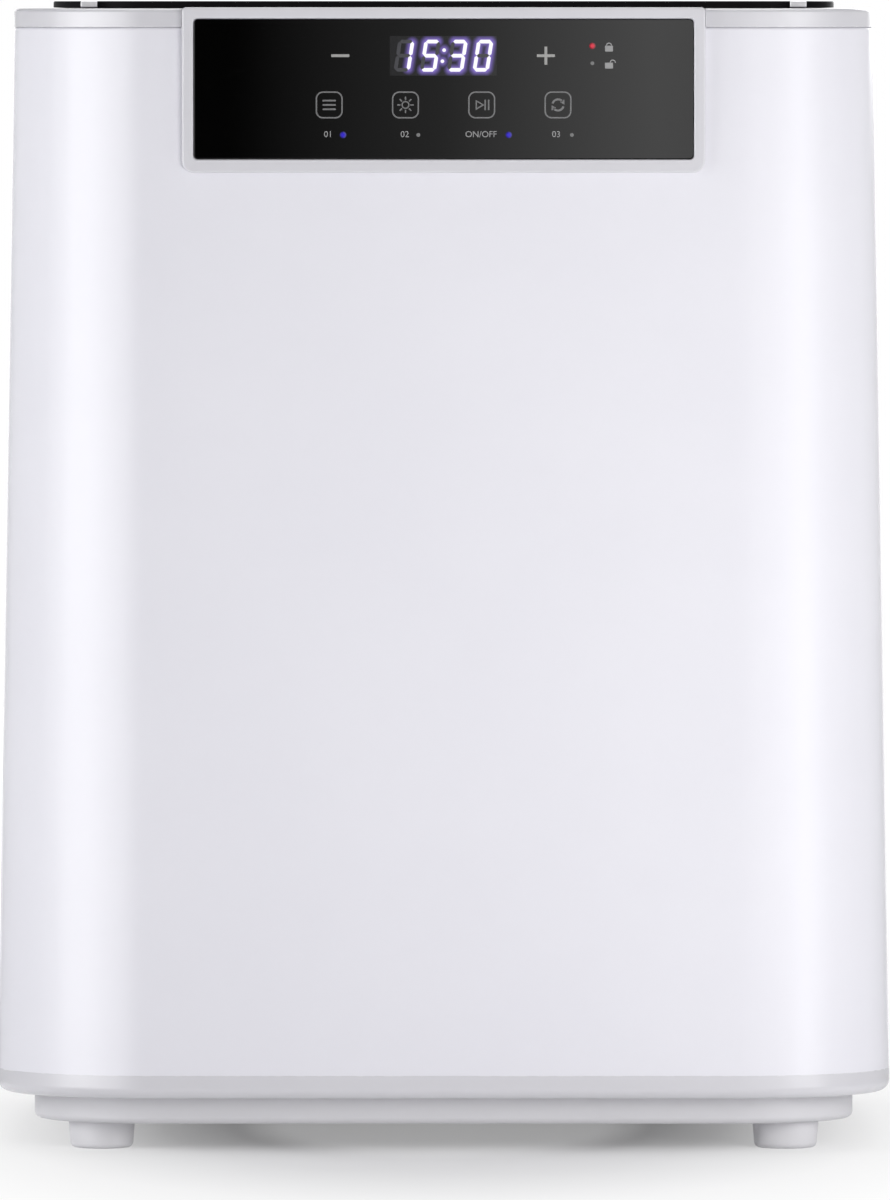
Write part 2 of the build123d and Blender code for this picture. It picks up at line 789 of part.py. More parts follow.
# ---------------------------------------------------------------- lid
lid_middle = (lid_front + lid_rear) / 2
lid_half_depth = (lid_rear - lid_front) / 2
lip_w = open_w - lip_clearance
lip_d = open_d - lip_clearance
lip_corner = opening_radius - lip_clearance
z_lip = z_lid - lid_lip_depth
z_window = z_lid_top - window_recess
rail_reach = rail_width / 2


def make_lid_frame():
    """Black frame: a plate with a lip into the chamber, a pocket for the window and rail grooves."""
    frame = slab(lid_w, lid_half_depth, lid_corner, z_lid, z_lid_top, lid_middle)
    frame = fillet(frame.faces().sort_by(Axis.Z)[-1].edges(), lid_edge)
    frame += slab(lip_w, lip_d, lip_corner, z_lip, z_lid)
    pocket_w, pocket_d = lip_w - lid_lip_wall, lip_d - lid_lip_wall
    pocket_corner = lip_corner - lid_lip_wall
    z_pocket = z_window - glass_thickness
    frame -= slab(pocket_w, pocket_d, pocket_corner, z_pocket, z_lid_top + over)
    z_ledge = z_pocket - ledge_thickness
    frame -= slab(pocket_w, pocket_d, pocket_corner, z_lip - over, z_ledge)
    inner = pocket_corner - lid_ledge
    hole_w, hole_d = pocket_w - lid_ledge, pocket_d - lid_ledge
    frame -= slab(hole_w, hole_d, inner, z_lip - over, z_lid_top + over)
    for side in (-1, 1):
        x0, x1 = side * rail_x - rail_reach, side * rail_x + rail_reach
        z_groove = z_lid_top - rail_thickness
        frame -= block(x0, x1, lid_front - over, lid_rear + over, z_groove, z_lid_top + over)
        frame -= block(x0, x1, lid_front - over, lid_front + rail_nose, z_lid - over, z_lid_top + over)
    return frame - upright(magnet_x, magnet_y, z_lid - over, z_lid + magnet_height, magnet_radius)


def make_window():
    """Tinted plate that stops the curing light."""
    half_x = lip_w - lid_lip_wall - fit
    half_y = lip_d - lid_lip_wall - fit
    return slab(half_x, half_y, lip_corner - lid_lip_wall - fit, z_window - glass_thickness, z_window)


def make_rail(side):
    """Metal rail flush in the lid, turned down over its front edge, with a hinge knuckle behind."""
    middle = side * rail_x
    x0, x1 = middle - rail_reach, middle + rail_reach
    z_strip = z_lid_top - rail_thickness
    rail = block(x0, x1, lid_front, lid_rear, z_strip, z_lid_top)
    rail += block(x0, x1, lid_front, lid_front + rail_nose, z_lid, z_lid_top)
    neck = hinge_y - 2 * knuckle_radius - over
    outline = Polyline(
        (lid_rear, z_strip),
        (lid_rear, z_lid_top),
        (neck, z_lid_top),
        (hinge_y, hinge_z + knuckle_radius),
        (hinge_y, hinge_z),
        (hinge_y - knuckle_radius, hinge_z),
        (neck, z_strip),
        close=True,
    )
    arm = extrude(Plane.YZ * make_face(outline), rail_width)
    rail += Pos(x0, 0, 0) * arm
    rail += along_x(hinge_y, hinge_z, x0, x1, knuckle_radius)
    return rail - along_x(hinge_y, hinge_z, x0 - over, x1 + over, pin_radius + running)


def make_hinge_bracket(side):
    """Two ears that stand up through the rim's recess, on a base screwed under the rim."""
    middle = side * rail_x
    inner = rail_reach + ear_gap
    outer = inner + ear_wall
    base_x = outer + bracket_spread
    inset = wall + slip + rim_tongue_wall + fit
    base = block(
        middle - base_x, middle + base_x, lid_rear - recess_front, half_d, z_rim - bracket_base, z_rim
    )
    base &= slab(half_w - inset, half_d - inset, corner_radius - inset, z_rim - bracket_base, z_rim)
    for x, y in bracket_screw_places(side):
        base -= upright(x, y, z_rim - bracket_base - over, z_rim + over, screw_radius + running)
    base -= along_x(hinge_y, hinge_z, middle - inner, middle + inner, knuckle_radius + slip)
    ears = []
    for x0, x1 in ((middle - outer, middle - inner), (middle + inner, middle + outer)):
        ear = along_x(hinge_y, hinge_z, x0, x1, knuckle_radius)
        ear += block(x0, x1, hinge_y - knuckle_radius, hinge_y + knuckle_radius, z_rim, hinge_z)
        ears.append(ear)
    bracket = base + ears[0] + ears[1]
    reach = outer + over
    return bracket - along_x(hinge_y, hinge_z, middle - reach, middle + reach, pin_radius + running)


def bracket_screw_places(side):
    """Where one hinge bracket's two screws stand."""
    spread = rail_reach + ear_gap + ear_wall + bracket_spread / 2
    y = lid_rear + recess_front + screw_radius + over / 2
    return [(side * rail_x + dx, y) for dx in (-spread, spread)]


bracket_screw_length = bracket_base + bracket_screw_bite
for side in (-1, 1):
    for x, y in bracket_screw_places(side):
        z_end = z_rim + bracket_screw_bite + over / 2
        parts["top_rim"] -= upright(x, y, z_rim - over, z_end, screw_radius + running)
parts["lid_frame"] = make_lid_frame()
parts["lid_window"] = make_window()
parts["lid_rail_left"] = make_rail(-1)
parts["lid_rail_right"] = make_rail(1)
parts["lid_magnet"] = upright(magnet_x, magnet_y, z_lid, z_lid + magnet_height, magnet_radius)
parts["lid_seal"] = gasket_solid(z_top - gasket_depth, z_lid - running)
parts["hinge_brackets"] = together(make_hinge_bracket(side) for side in (-1, 1))
parts["hinge_pins"] = together(
    along_x(
        hinge_y, hinge_z,
        side * rail_x - rail_reach - ear_gap - ear_wall,
        side * rail_x + rail_reach + ear_gap + ear_wall, pin_radius,
    )
    for side in (-1, 1)
)
parts["bracket_screws"] = together(
    screw_up(x, y, z_rim - bracket_base, bracket_screw_length)
    for side in (-1, 1)
    for x, y in bracket_screw_places(side)
)
parts["lid_sensor"] = block(
    magnet_x - sensor_length / 2, magnet_x + sensor_length / 2,
    magnet_y - sensor_width / 2, magnet_y + sensor_width / 2, z_rim - sensor_height, z_rim,
)

# ---------------------------------------------------------------- touch panel
half_bezel = bezel_width / 2
half_glass = panel_glass_width / 2


def front_plate(half_x, z0, z1, y0, y1, low_corner, high_corner):
    """A plate in the XZ plane from y0 to y1, its lower and upper corners rounded separately."""
    plate = block(-half_x, half_x, y0, y1, z0, z1)
    upright_edges = plate.edges().filter_by(Axis.Y)
    low = upright_edges.filter_by(lambda e: e.center().Z < (z0 + z1) / 2)
    plate = fillet(low, low_corner)
    high = plate.edges().filter_by(Axis.Y).filter_by(lambda e: e.center().Z > z1 - 0.01)
    return fillet(high, high_corner)


def make_bezel():
    """Frame round the panel glass: a flange over the shell and a neck through its cut-out."""
    face = front_plate(
        half_bezel, z_bezel, z_lid, bezel_front, bezel_rear, bezel_low_corner, bezel_high_corner
    )
    front = face.faces().sort_by(Axis.Y)[0]
    face = chamfer(front.edges(), bezel_edge * 0.6)
    clear = drafted(-fit)
    neck_half = half_bezel - bezel_overlap
    neck = block(-neck_half, neck_half, bezel_front + bezel_edge, bezel_rear, z_bezel + bezel_overlap, z_rim)
    bezel = (face - clear) + neck
    # snap lips that catch behind the shell's cut-out
    snap_y = -(half_d - 2 * wall) + snap_hook - 2 * fit
    z_snap = z_bezel + bezel_overlap
    for x in (-snap_spread, 0, snap_spread):
        bezel += block(
            x - snap_width / 2, x + snap_width / 2, snap_y, snap_y + 2 * snap_hook,
            z_snap - snap_hook, z_snap + snap_hook / 3,
        )
    pocket = front_plate(
        half_glass + fit, z_glass - fit, z_glass + panel_glass_height + fit, bezel_front - over, glass_back,
        panel_glass_corner, panel_glass_corner,
    )
    bezel -= pocket
    bezel -= block(
        -half_glass + glass_ledge, half_glass - glass_ledge, bezel_front, bezel_rear + over,
        z_glass + glass_ledge, z_glass + panel_glass_height - glass_ledge,
    )
    for x, z in panel_screw_places():
        boss = along_y(x, z, glass_back, board_front, panel_boss)
        bezel += boss
        bezel -= along_y(x, z, glass_back + over, board_front + over, small_screw + running)
    return bezel


def panel_screw_places():
    """Where the touch board's four screws stand, in x and z."""
    inset = glass_ledge + panel_boss * 0.8
    z_half = panel_glass_height / 2 - inset
    return [(x, glass_mid + dz) for x, dz in corners(half_glass - inset, z_half)]


def make_touch_board():
    """Board behind the glass, with its controller on the back."""
    gap = glass_ledge + slip
    board = block(
        -half_glass + gap, half_glass - gap, board_front, board_front + circuit_board,
        z_glass + gap, z_glass + panel_glass_height - gap,
    )
    back = board_front + circuit_board
    z_chip = z_glass + touch_chip_rise
    board += block(
        -touch_chip_width / 2, touch_chip_width / 2, back, back + touch_chip_depth,
        z_chip, z_chip + touch_chip_height,
    )
    for x, z in panel_screw_places():
        board -= along_y(x, z, board_front - over, back + over, small_screw + running)
    return board


def key_places():
    """Centres of the four keys and of the minus and plus keys."""
    row = [((n - 1.5) * key_pitch, glass_mid - key_row_drop) for n in range(4)]
    return row + [(side * set_key_span / 2, glass_mid + set_key_rise) for side in (-1, 1)]


def indicator_places():
    """Centres of the lights beside the key labels and of the two lock lights."""
    low = z_glass + indicator_rise
    return [((n - 1.5) * key_pitch + indicator_offset, low) for n in range(4)] + [
        (lock_light_x, glass_mid + dz) for dz in (lock_light_high, lock_light_low)
    ]


display_z = glass_mid + set_key_rise - display_height / 2
parts["panel_bezel"] = make_bezel()
parts["panel_glass"] = front_plate(
    half_glass, z_glass, z_glass + panel_glass_height, glass_front, glass_back,
    panel_glass_corner, panel_glass_corner,
)
parts["touch_board"] = make_touch_board()
parts["display_module"] = block(
    -display_width / 2, display_width / 2, glass_back + slip, board_front,
    display_z, display_z + display_height,
)
parts["touch_springs"] = together(
    along_y(x, z, glass_back, board_front, spring_radius)
    - along_y(x, z, glass_back - over, board_front + over, spring_radius - spring_wall)
    for x, z in key_places()
)
parts["indicator_leds"] = together(
    along_y(x, z, glass_back + slip, board_front, indicator_radius) for x, z in indicator_places()
)
panel_head = mirror(Cylinder(small_screw * 1.9, panel_head_height, align=LOW), Plane.XY)
panel_screw = Rot(90, 0, 0) * (Cylinder(small_screw, panel_screw_length, align=LOW) + panel_head)
parts["panel_screws"] = together(
    Pos(x, board_front + circuit_board, z) * panel_screw for x, z in panel_screw_places()
)

# ---------------------------------------------------------------- cooling fan
half_fan = fan_size / 2


def make_fan_frame():
    """Square fan housing with a round duct, four struts and a centre hub with its axle."""
    frame = block(-half_fan, half_fan, fan_front, fan_rear, fan_height - half_fan, fan_height + half_fan)
    frame = fillet(frame.edges().filter_by(Axis.Y), fan_corner)
    frame -= along_y(0, fan_height, fan_front - over, fan_rear + over, fan_duct_radius)
    y_strut = fan_rear - strut_depth
    strut = Box(2 * fan_duct_radius + over, strut_depth, strut_width)
    for angle in (45, 135):
        frame += Pos(0, fan_rear - strut_depth / 2, fan_height) * Rot(0, angle, 0) * strut
    frame += along_y(0, fan_height, y_strut, fan_rear, fan_hub_radius)
    frame += along_y(0, fan_height, fan_front + fan_corner, fan_rear - strut_depth / 2, fan_axle)
    for x, dz in corners(fan_hole_span / 2, fan_hole_span / 2):
        frame -= along_y(x, fan_height + dz, fan_front - over, fan_rear + over, screw_radius + running)
    return frame


def make_impeller():
    """Hub and swept blades, open behind for the axle."""
    length = fan_depth - strut_depth - fan_axle
    rotor = Cylinder(fan_hub_radius, length, align=LOW)
    rotor = fillet(rotor.faces().sort_by(Axis.Z)[0].edges(), fan_axle)
    tip = fan_duct_radius - blade_tip_gap
    root = fan_hub_radius - over
    annulus = Cylinder(tip, length - over, align=LOW) - Cylinder(root, length - over, align=LOW)
    reach = tip - root + 2 * over
    blade = Box(reach, blade_chord, blade_thickness)
    blade = (Pos(root - over + reach / 2, 0, length / 2) * Rot(blade_angle, 0, 0) * blade) & annulus
    for n in range(fan_blades):
        rotor += Rot(0, 0, n * 360 / fan_blades) * blade
    rotor -= Pos(0, 0, strut_depth) * Cylinder(fan_axle + running, length, align=LOW)
    return Pos(0, fan_front + over, fan_height) * Rot(-90, 0, 0) * rotor


def make_fan_grille():
    """Round grille that follows the slope of the rear face."""
    span = grille_radius + grille_flange
    skin = drafted(-grille_proud)
    plug = along_y(0, fan_height, fan_rear + over, half_d + 2 * draft_inset, grille_radius) & skin
    flange = along_y(0, fan_height, half_d - wall, half_d + 2 * draft_inset, span) & skin
    grille = plug + (flange - outside)
    pitch = 2 * grille_slot
    rows = int(grille_radius / pitch)
    for n in range(-rows, rows + 1):
        height = abs(n) * pitch + grille_slot / 2
        if height > grille_radius - grille_slot:
            continue
        reach = (grille_radius**2 - height**2) ** 0.5 - grille_border
        z = fan_height + n * pitch
        for x0, x1 in ((-reach, -grille_rib / 2), (grille_rib / 2, reach)):
            if x1 - x0 > grille_rib:
                grille -= block(
                    x0, x1, fan_rear, half_d + 2 * draft_inset, z - grille_slot / 2, z + grille_slot / 2
                )
    return grille


parts["fan_frame"] = make_fan_frame()
parts["fan_impeller"] = make_impeller()
parts["fan_grille"] = make_fan_grille()
parts["fan_duct"] = along_y(0, fan_height, outer_liner_d, fan_front, half_fan) - along_y(
    0, fan_height, outer_liner_d - over, fan_front + over, fan_duct_radius
)
parts["fan_screws"] = together(
    screw_in(x, z, screw_seat(z), screw_seat(z) - fan_front - fan_corner)
    for x, z in [(dx, fan_height + dz) for dx, dz in corners(fan_hole_span / 2, fan_hole_span / 2)]
)

# ---------------------------------------------------------------- mains inlet, fuse and switch
socket_x = inlet_centre_x + socket_offset
switch_x = inlet_centre_x + switch_offset
plate_front = pad_y - inlet_plate_thickness
socket_face = pad_y + socket_flange
socket_z = inlet_centre_height - socket_drop
fuse_z = inlet_centre_height + fuse_rise
pivot_y = pad_y - pivot_back


def around(x, z, half_x, half_z, y0, y1):
    """A block centred on a point of the rear face."""
    return block(x - half_x, x + half_x, y0, y1, z - half_z, z + half_z)


def make_inlet_plate():
    plate = around(
        inlet_centre_x, inlet_centre_height, inlet_plate_width / 2, inlet_plate_height / 2, plate_front, pad_y
    )
    plate = fillet(plate.edges().filter_by(Axis.Y), inlet_corner)
    for x, half_x, half_z in (
        (socket_x, socket_body_width / 2 + fit, socket_body_height / 2 + fit),
        (switch_x, switch_body_width / 2 + fit, switch_body_height / 2 + fit),
    ):
        plate -= around(x, inlet_centre_height, half_x, half_z, plate_front - over, pad_y + over)
    for dx, dz in corners(inlet_screw_span / 2, inlet_screw_rise / 2):
        x, z = inlet_centre_x + dx, inlet_centre_height + dz
        plate -= along_y(x, z, plate_front - over, pad_y + over, screw_radius + running)
    return plate


def make_pins():
    """Three contact blades with tabs behind."""
    blades = []
    side = contact_span / 2
    for dx, dz in ((-side, -contact_drop), (side, -contact_drop), (0, contact_rise)):
        blades.append(
            around(
                socket_x + dx, socket_z + dz, contact_width / 2, contact_height / 2,
                pad_y - socket_body_depth - contact_tab, socket_face - contact_recess,
            )
        )
    return blades


def make_inlet_body():
    body = around(
        socket_x, inlet_centre_height, socket_body_width / 2, socket_body_height / 2,
        pad_y - socket_body_depth, pad_y,
    )
    flange = around(
        socket_x, inlet_centre_height, socket_flange_width / 2, socket_flange_height / 2, pad_y, socket_face
    )
    body += fillet(flange.edges().filter_by(Axis.Y), inlet_corner)
    cavity = around(
        socket_x, socket_z, socket_width / 2, socket_height / 2,
        socket_face - socket_depth, socket_face + over,
    )
    high = cavity.edges().filter_by(Axis.Y).filter_by(lambda e: e.center().Z > socket_z)
    body -= chamfer(high, socket_chamfer)
    body -= around(
        socket_x, fuse_z, fuse_width / 2 + fit, fuse_height / 2 + fit,
        socket_face - fuse_depth, socket_face + over,
    )
    for blade in make_pins():
        body -= blade
    return body


def make_fuse_drawer():
    """Drawer that carries the fuse, with a lipped front to pull it by."""
    front = socket_face + drawer_proud
    drawer = around(
        socket_x, fuse_z, fuse_width / 2, fuse_height / 2, socket_face - fuse_depth + fit, front
    )
    drawer = fillet(drawer.faces().sort_by(Axis.Y)[-1].edges(), drawer_edge)
    drawer -= around(
        socket_x, fuse_z + fuse_height / 2, drawer_notch_width / 2, drawer_notch,
        socket_face - drawer_notch_depth, front + over,
    )
    middle = socket_face - fuse_depth / 2
    half, radius = fuse_length / 2 + fit, fuse_radius + fit
    drawer -= along_x(middle, fuse_z, socket_x - half, socket_x + half, radius)
    return drawer - around(
        socket_x, fuse_z + fuse_height / 2, half, fuse_height / 2, middle - radius, middle + radius
    )


def make_switch_body():
    body = around(
        switch_x, inlet_centre_height, switch_body_width / 2, switch_body_height / 2,
        pad_y - switch_body_depth, pad_y,
    )
    flange = around(
        switch_x, inlet_centre_height, switch_flange_width / 2, switch_flange_height / 2,
        pad_y, pad_y + switch_flange,
    )
    body += fillet(flange.edges().filter_by(Axis.Y), switch_corner)
    half = rocker_width / 2 + slip
    body -= along_x(pivot_y, inlet_centre_height, switch_x - half, switch_x + half, rocker_radius + slip)
    reach = rocker_width / 2 + rocker_pin_length + slip
    return body - along_x(
        pivot_y, inlet_centre_height, switch_x - reach, switch_x + reach, rocker_pin + running
    )


def make_rocker():
    """Rocker with a shallow V face and two stub pins, pressed in at the top."""
    half = rocker_width / 2
    disc = along_x(0, 0, -half, half, rocker_radius)
    reach = rocker_radius + over
    tip = rocker_face + reach * sin(radians(rocker_tilt))
    crown = Polyline(
        (-reach, -rocker_back), (-reach, tip), (0, rocker_face), (reach, tip), (reach, -rocker_back),
        close=True,
    )
    side_view = Plane(origin=(half + over, 0, 0), x_dir=(0, 0, 1), z_dir=(-1, 0, 0))
    rocker = disc & extrude(side_view * make_face(crown), rocker_width + 2 * over)
    rocker += along_x(0, 0, -half - rocker_pin_length, half + rocker_pin_length, rocker_pin)
    return Pos(switch_x, pivot_y, inlet_centre_height) * Rot(rocker_tilt, 0, 0) * rocker


parts["inlet_plate"] = make_inlet_plate()
parts["inlet_screws"] = together(
    screw_in(
        inlet_centre_x + dx, inlet_centre_height + dz,
        screw_seat(inlet_centre_height + dz), inlet_screw_length,
    )
    for dx, dz in corners(inlet_screw_span / 2, inlet_screw_rise / 2)
)
parts["inlet_body"] = make_inlet_body()
parts["inlet_pins"] = together(make_pins())
parts["fuse_drawer"] = make_fuse_drawer()
parts["fuse"] = along_x(
    socket_face - fuse_depth / 2, fuse_z, socket_x - fuse_length / 2, socket_x + fuse_length / 2, fuse_radius
)
parts["switch_body"] = make_switch_body()
parts["switch_rocker"] = make_rocker()

# ---------------------------------------------------------------- boards
z_board = z_plate + standoff_height
board_screw_length = circuit_board + board_screw_bite


def board_blank(centre_x):
    board = block(
        centre_x - supply_width / 2, centre_x + supply_width / 2, -supply_length / 2, supply_length / 2,
        z_board, z_board + circuit_board,
    )
    for x, y in board_corners(centre_x):
        board -= upright(x, y, z_board - over, z_board + circuit_board + over, screw_radius + running)
    return board


def with_components(board, centre_x, boxes, cans):
    """Adds boxy components and round capacitors, given from the board's middle."""
    z = z_board + circuit_board
    for dx, dy, half_x, half_y, high in boxes:
        board += block(
            centre_x + dx - half_x, centre_x + dx + half_x, dy - half_y, dy + half_y,
            z - solder, z + high,
        )
    for dx, dy, radius, high in cans:
        board += upright(centre_x + dx, dy, z - solder, z + high, radius)
    return board


parts["power_supply"] = with_components(board_blank(supply_x), supply_x, supply_blocks, supply_cans)
parts["main_board"] = with_components(board_blank(-supply_x), -supply_x, logic_blocks, logic_cans)
parts["board_screws"] = together(
    screw_down(x, y, z_board + circuit_board, board_screw_length)
    for side in (-1, 1)
    for x, y in board_corners(side * supply_x)
)

# ---------------------------------------------------------------- files
os.makedirs("parts", exist_ok=True)
for name, shape in parts.items():
    export_step(shape, f"parts/{name}.step")
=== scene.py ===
import bmesh
import bpy
from math import atan2, cos, hypot, pi, radians, sin
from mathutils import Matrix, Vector


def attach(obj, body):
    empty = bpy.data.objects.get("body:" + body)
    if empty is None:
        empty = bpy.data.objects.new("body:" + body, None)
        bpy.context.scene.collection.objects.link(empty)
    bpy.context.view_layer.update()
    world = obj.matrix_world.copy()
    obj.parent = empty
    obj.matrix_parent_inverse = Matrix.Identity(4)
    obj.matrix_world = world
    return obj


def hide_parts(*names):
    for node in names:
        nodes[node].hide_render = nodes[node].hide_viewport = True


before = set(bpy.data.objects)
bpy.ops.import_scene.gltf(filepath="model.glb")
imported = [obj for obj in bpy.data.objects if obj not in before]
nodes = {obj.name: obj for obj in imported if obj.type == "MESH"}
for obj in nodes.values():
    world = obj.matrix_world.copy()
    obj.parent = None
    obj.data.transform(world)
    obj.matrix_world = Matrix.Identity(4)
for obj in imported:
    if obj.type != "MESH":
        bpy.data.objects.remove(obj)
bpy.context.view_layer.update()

scene = bpy.context.scene
scene.view_settings.view_transform = "Standard"

# ---------------------------------------------------------------- camera
# A long portrait lens on a stand, level with the unit's rim and a few metres in front of it, tipped
# down a little so that the whole case fills the frame.
camera_data = bpy.data.cameras.new("portrait_lens")
camera_data.lens = 476
camera_data.sensor_width = 36
camera_data.clip_end = 60
camera_tip = 2.063
camera = bpy.data.objects.new("portrait_lens", camera_data)
scene.collection.objects.link(camera)
camera.location = (0.0004, -4.706, 0.3251)
camera.rotation_euler = (radians(90 - camera_tip), 0, 0)
scene.camera = camera

# ---------------------------------------------------------------- studio
# A seamless pale floor that runs out into white, soft boxes at the left, the right, overhead and behind,
# and a round tent of graded cloth, with two brighter strips, that the glossy surfaces mirror.
def only(*pieces):
    """Leaves edit mode, selects nothing but the pieces and makes the first one active."""
    if bpy.context.mode != "OBJECT":
        bpy.ops.object.mode_set(mode="OBJECT")
    bpy.ops.object.select_all(action="DESELECT")
    for piece in pieces:
        piece.select_set(True)
    if pieces:
        bpy.context.view_layer.objects.active = pieces[0]


def added(name, primitive, scale=(1, 1, 1), **settings):
    """Adds a primitive alone and applies its place, turn and size."""
    only()
    primitive(**settings)
    piece = bpy.context.object
    piece.scale = scale
    piece.name = piece.data.name = name
    bpy.ops.object.transform_apply(location=True, rotation=True, scale=True)
    return piece


def node(tree, kind, inputs=None, **settings):
    """Adds a shader node, sets its properties, and sets or links its sockets by name or number."""
    made = tree.nodes.new("ShaderNode" + kind)
    for key, value in settings.items():
        setattr(made, key, value)
    for key, value in (inputs or {}).items():
        socket = made.inputs[key]
        if isinstance(value, bpy.types.NodeSocket):
            tree.links.new(value, socket)
        else:
            socket.default_value = (*value, 1) if socket.type == "RGBA" and len(value) == 3 else value
    return made


def new_material(name):
    """A new empty material, its nodes, and the place on the object in metres."""
    material = bpy.data.materials.new(name)
    material.use_nodes = True
    tree = material.node_tree
    tree.nodes.clear()
    return material, tree, node(tree, "TexCoord").outputs["Object"]


def math(tree, operation, *values):
    """A maths node fed by sockets or numbers."""
    return node(tree, "Math", dict(enumerate(values)), operation=operation).outputs[0]


def noise(tree, vector, scale, detail=3.0, roughness=0.5):
    """Noise of a scale given by a socket or a number."""
    sockets = {"Vector": vector, "Scale": scale, "Detail": detail, "Roughness": roughness}
    return node(tree, "TexNoise", sockets).outputs["Fac"]


def eased_range(tree, value, *ends):
    """Eases a value from one range into another, 0 to 1 unless two more ends are given."""
    sockets = {0: value, **dict(enumerate(ends, 1))}
    return node(tree, "MapRange", sockets, interpolation_type="SMOOTHSTEP").outputs[0]


def ramp(tree, factor, stops):
    """A colour ramp through (place, grey or colour) stops."""
    made = node(tree, "ValToRGB", {0: factor})
    elements = made.color_ramp.elements
    while len(elements) < len(stops):
        elements.new(0.5)
    for element, (place, level) in zip(elements, stops):
        element.position = place
        element.color = (*level, 1) if isinstance(level, tuple) else (level, level, level, 1)
    return made.outputs[0]


def seen_directly(tree):
    """1 for camera, glossy and transmission rays, 0 for the light that falls on the unit."""
    rays = node(tree, "LightPath").outputs
    either = math(tree, "MAXIMUM", rays["Is Camera Ray"], rays["Is Glossy Ray"])
    return math(tree, "MAXIMUM", either, rays["Is Transmission Ray"])


def shine(tree, kind, colour, strength):
    """A light of one colour and strength."""
    return node(tree, kind, {"Color": colour, "Strength": strength}).outputs[0]


def mixed(tree, factor, first, second):
    """Mixes two shaders."""
    return node(tree, "MixShader", {0: factor, 1: first, 2: second}).outputs[0]


world = bpy.data.worlds.new("white_room")
world.use_nodes = True
scene.world = world
tree = world.node_tree
tree.nodes.clear()
room_light = shine(tree, "Background", (0.96, 0.97, 1.0), 0.20)
room_seen = shine(tree, "Background", (1, 1, 1), 1.0)
node(tree, "OutputWorld", {0: mixed(tree, seen_directly(tree), room_light, room_seen)})

floor = added(
    "studio_floor", bpy.ops.mesh.primitive_circle_add,
    vertices=96, radius=30, fill_type="NGON", location=(0, 0, 0),
)
floor_paint, tree, spot = new_material("floor_paint")
# How much of the floor's white is its own, by distance from the unit's middle in metres. Near the unit it is
# low, so the lit floor shows through with the real shadow, and the dip in the list adds a painted shadow pool
# round the unit. The painted pool of shade is narrower from side to side than from front to back.
floor_white_and_painted_shade = [
    (0.0, 0.30), (0.12, 0.28), (0.155, 0.15), (0.205, 0.25), (0.33, 0.74), (0.45, 0.97), (0.60, 1.0),
]
floor_reach = floor_white_and_painted_shade[-1][0]
painted_pool_spot = node(tree, "VectorMath", {0: spot, 1: (2.5, 1, 1)}, operation="MULTIPLY").outputs[0]
away = node(tree, "VectorMath", {0: painted_pool_spot}, operation="LENGTH").outputs["Value"]
floor_stops = [(distance / floor_reach, level) for distance, level in floor_white_and_painted_shade]
white_over_painted_shade = ramp(tree, math(tree, "DIVIDE", away, floor_reach), floor_stops)
speckled = ramp(tree, noise(tree, spot, 40.0, 6.0), [(0, (0.90, 0.90, 0.905)), (1, (0.93, 0.93, 0.935))])
# Seen directly, the floor's paint is darkened to 0.76 of the colour it bounces. This painted shade shows
# where the floor's own white is low.
painted_darker_seen = {0: seen_directly(tree), 6: speckled, 7: (0.76, 0.76, 0.765)}
painted_darker_seen = node(tree, "Mix", painted_darker_seen, data_type="RGBA", blend_type="MULTIPLY").outputs[2]
lit = node(tree, "BsdfDiffuse", {"Color": painted_darker_seen, "Roughness": 0.4}).outputs[0]
only_seen = math(tree, "MULTIPLY", white_over_painted_shade, seen_directly(tree))
bare_white = shine(tree, "Emission", (1, 1, 1), 1.0)
node(tree, "OutputMaterial", {0: mixed(tree, only_seen, lit, bare_white)})
floor.data.materials.append(floor_paint)


def soft_box(name, place, aim, width, height, power, colour=(1, 1, 1)):
    """A rectangular soft box at place, turned to face aim."""
    data = bpy.data.lights.new(name, "AREA")
    data.shape, data.size, data.size_y = "RECTANGLE", width, height
    data.energy, data.color = power, colour
    box = bpy.data.objects.new(name, data)
    scene.collection.objects.link(box)
    box.location = place
    box.rotation_euler = (Vector(aim) - Vector(place)).to_track_quat("-Z", "Y").to_euler()
    box.visible_camera = False
    return box


def round_unit(azimuth, distance, height):
    """A place at azimuth degrees from the front, positive to the right, round the unit."""
    return (distance * sin(radians(azimuth)), -distance * cos(radians(azimuth)), height)


unit_middle = (0, 0, 0.17)
fills = [
    soft_box("left_fill", round_unit(-72, 1.6, 0.5), unit_middle, 0.8, 0.9, 13.9),
    soft_box("right_fill", round_unit(72, 1.6, 0.5), unit_middle, 0.8, 0.9, 5.3),
    soft_box("right_key", (0.40, -0.80, 0.18), (0.10, -0.1, 0.02), 0.4, 0.4, 3.0, (1, 0.99, 0.98)),
]
soft_box("overhead", (0, 0.55, 1.9), (0, 0, 0.2), 1.6, 1.6, 20)
soft_box("rear_fill", round_unit(160, 2.2, 0.9), unit_middle, 1.2, 1.2, 13.5)
for unmirrored in (*fills, floor):
    unmirrored.visible_glossy = False

# The tent that the gloss mirrors: azimuth in degrees from the front, and how bright it is there.
tent_panels = [
    (-165, 1.4), (-160, 0.5), (-120, 0.5), (-90, 1.06), (-75, 2.1), (-65, 3.9), (-55, 4.85), (-46, 4.85),
    (-36, 4.0), (-20, 2.6), (-12, 1.05), (-5, 0.2), (-1.65, 0.0), (-0.98, 0.02), (-0.48, 0.12), (1.03, 1.24),
    (1.6, 1.85), (1.95, 1.1), (6, 1.5), (12, 1.6), (20, 1.6), (28, 1.74), (36, 2.3), (47, 3.7), (54, 3.6),
    (68, 1.36), (76, 0.5), (105, 0.26), (115, 0.64), (160, 0.6), (165, 1.4),
]
tent_peak = 6.0
tent = added(
    "light_tent", bpy.ops.mesh.primitive_cylinder_add,
    vertices=192, radius=5.2, depth=8, end_fill_type="NOTHING", location=(0, 0, 1.8),
)
tent_cloth, tree, spot = new_material("tent_cloth")
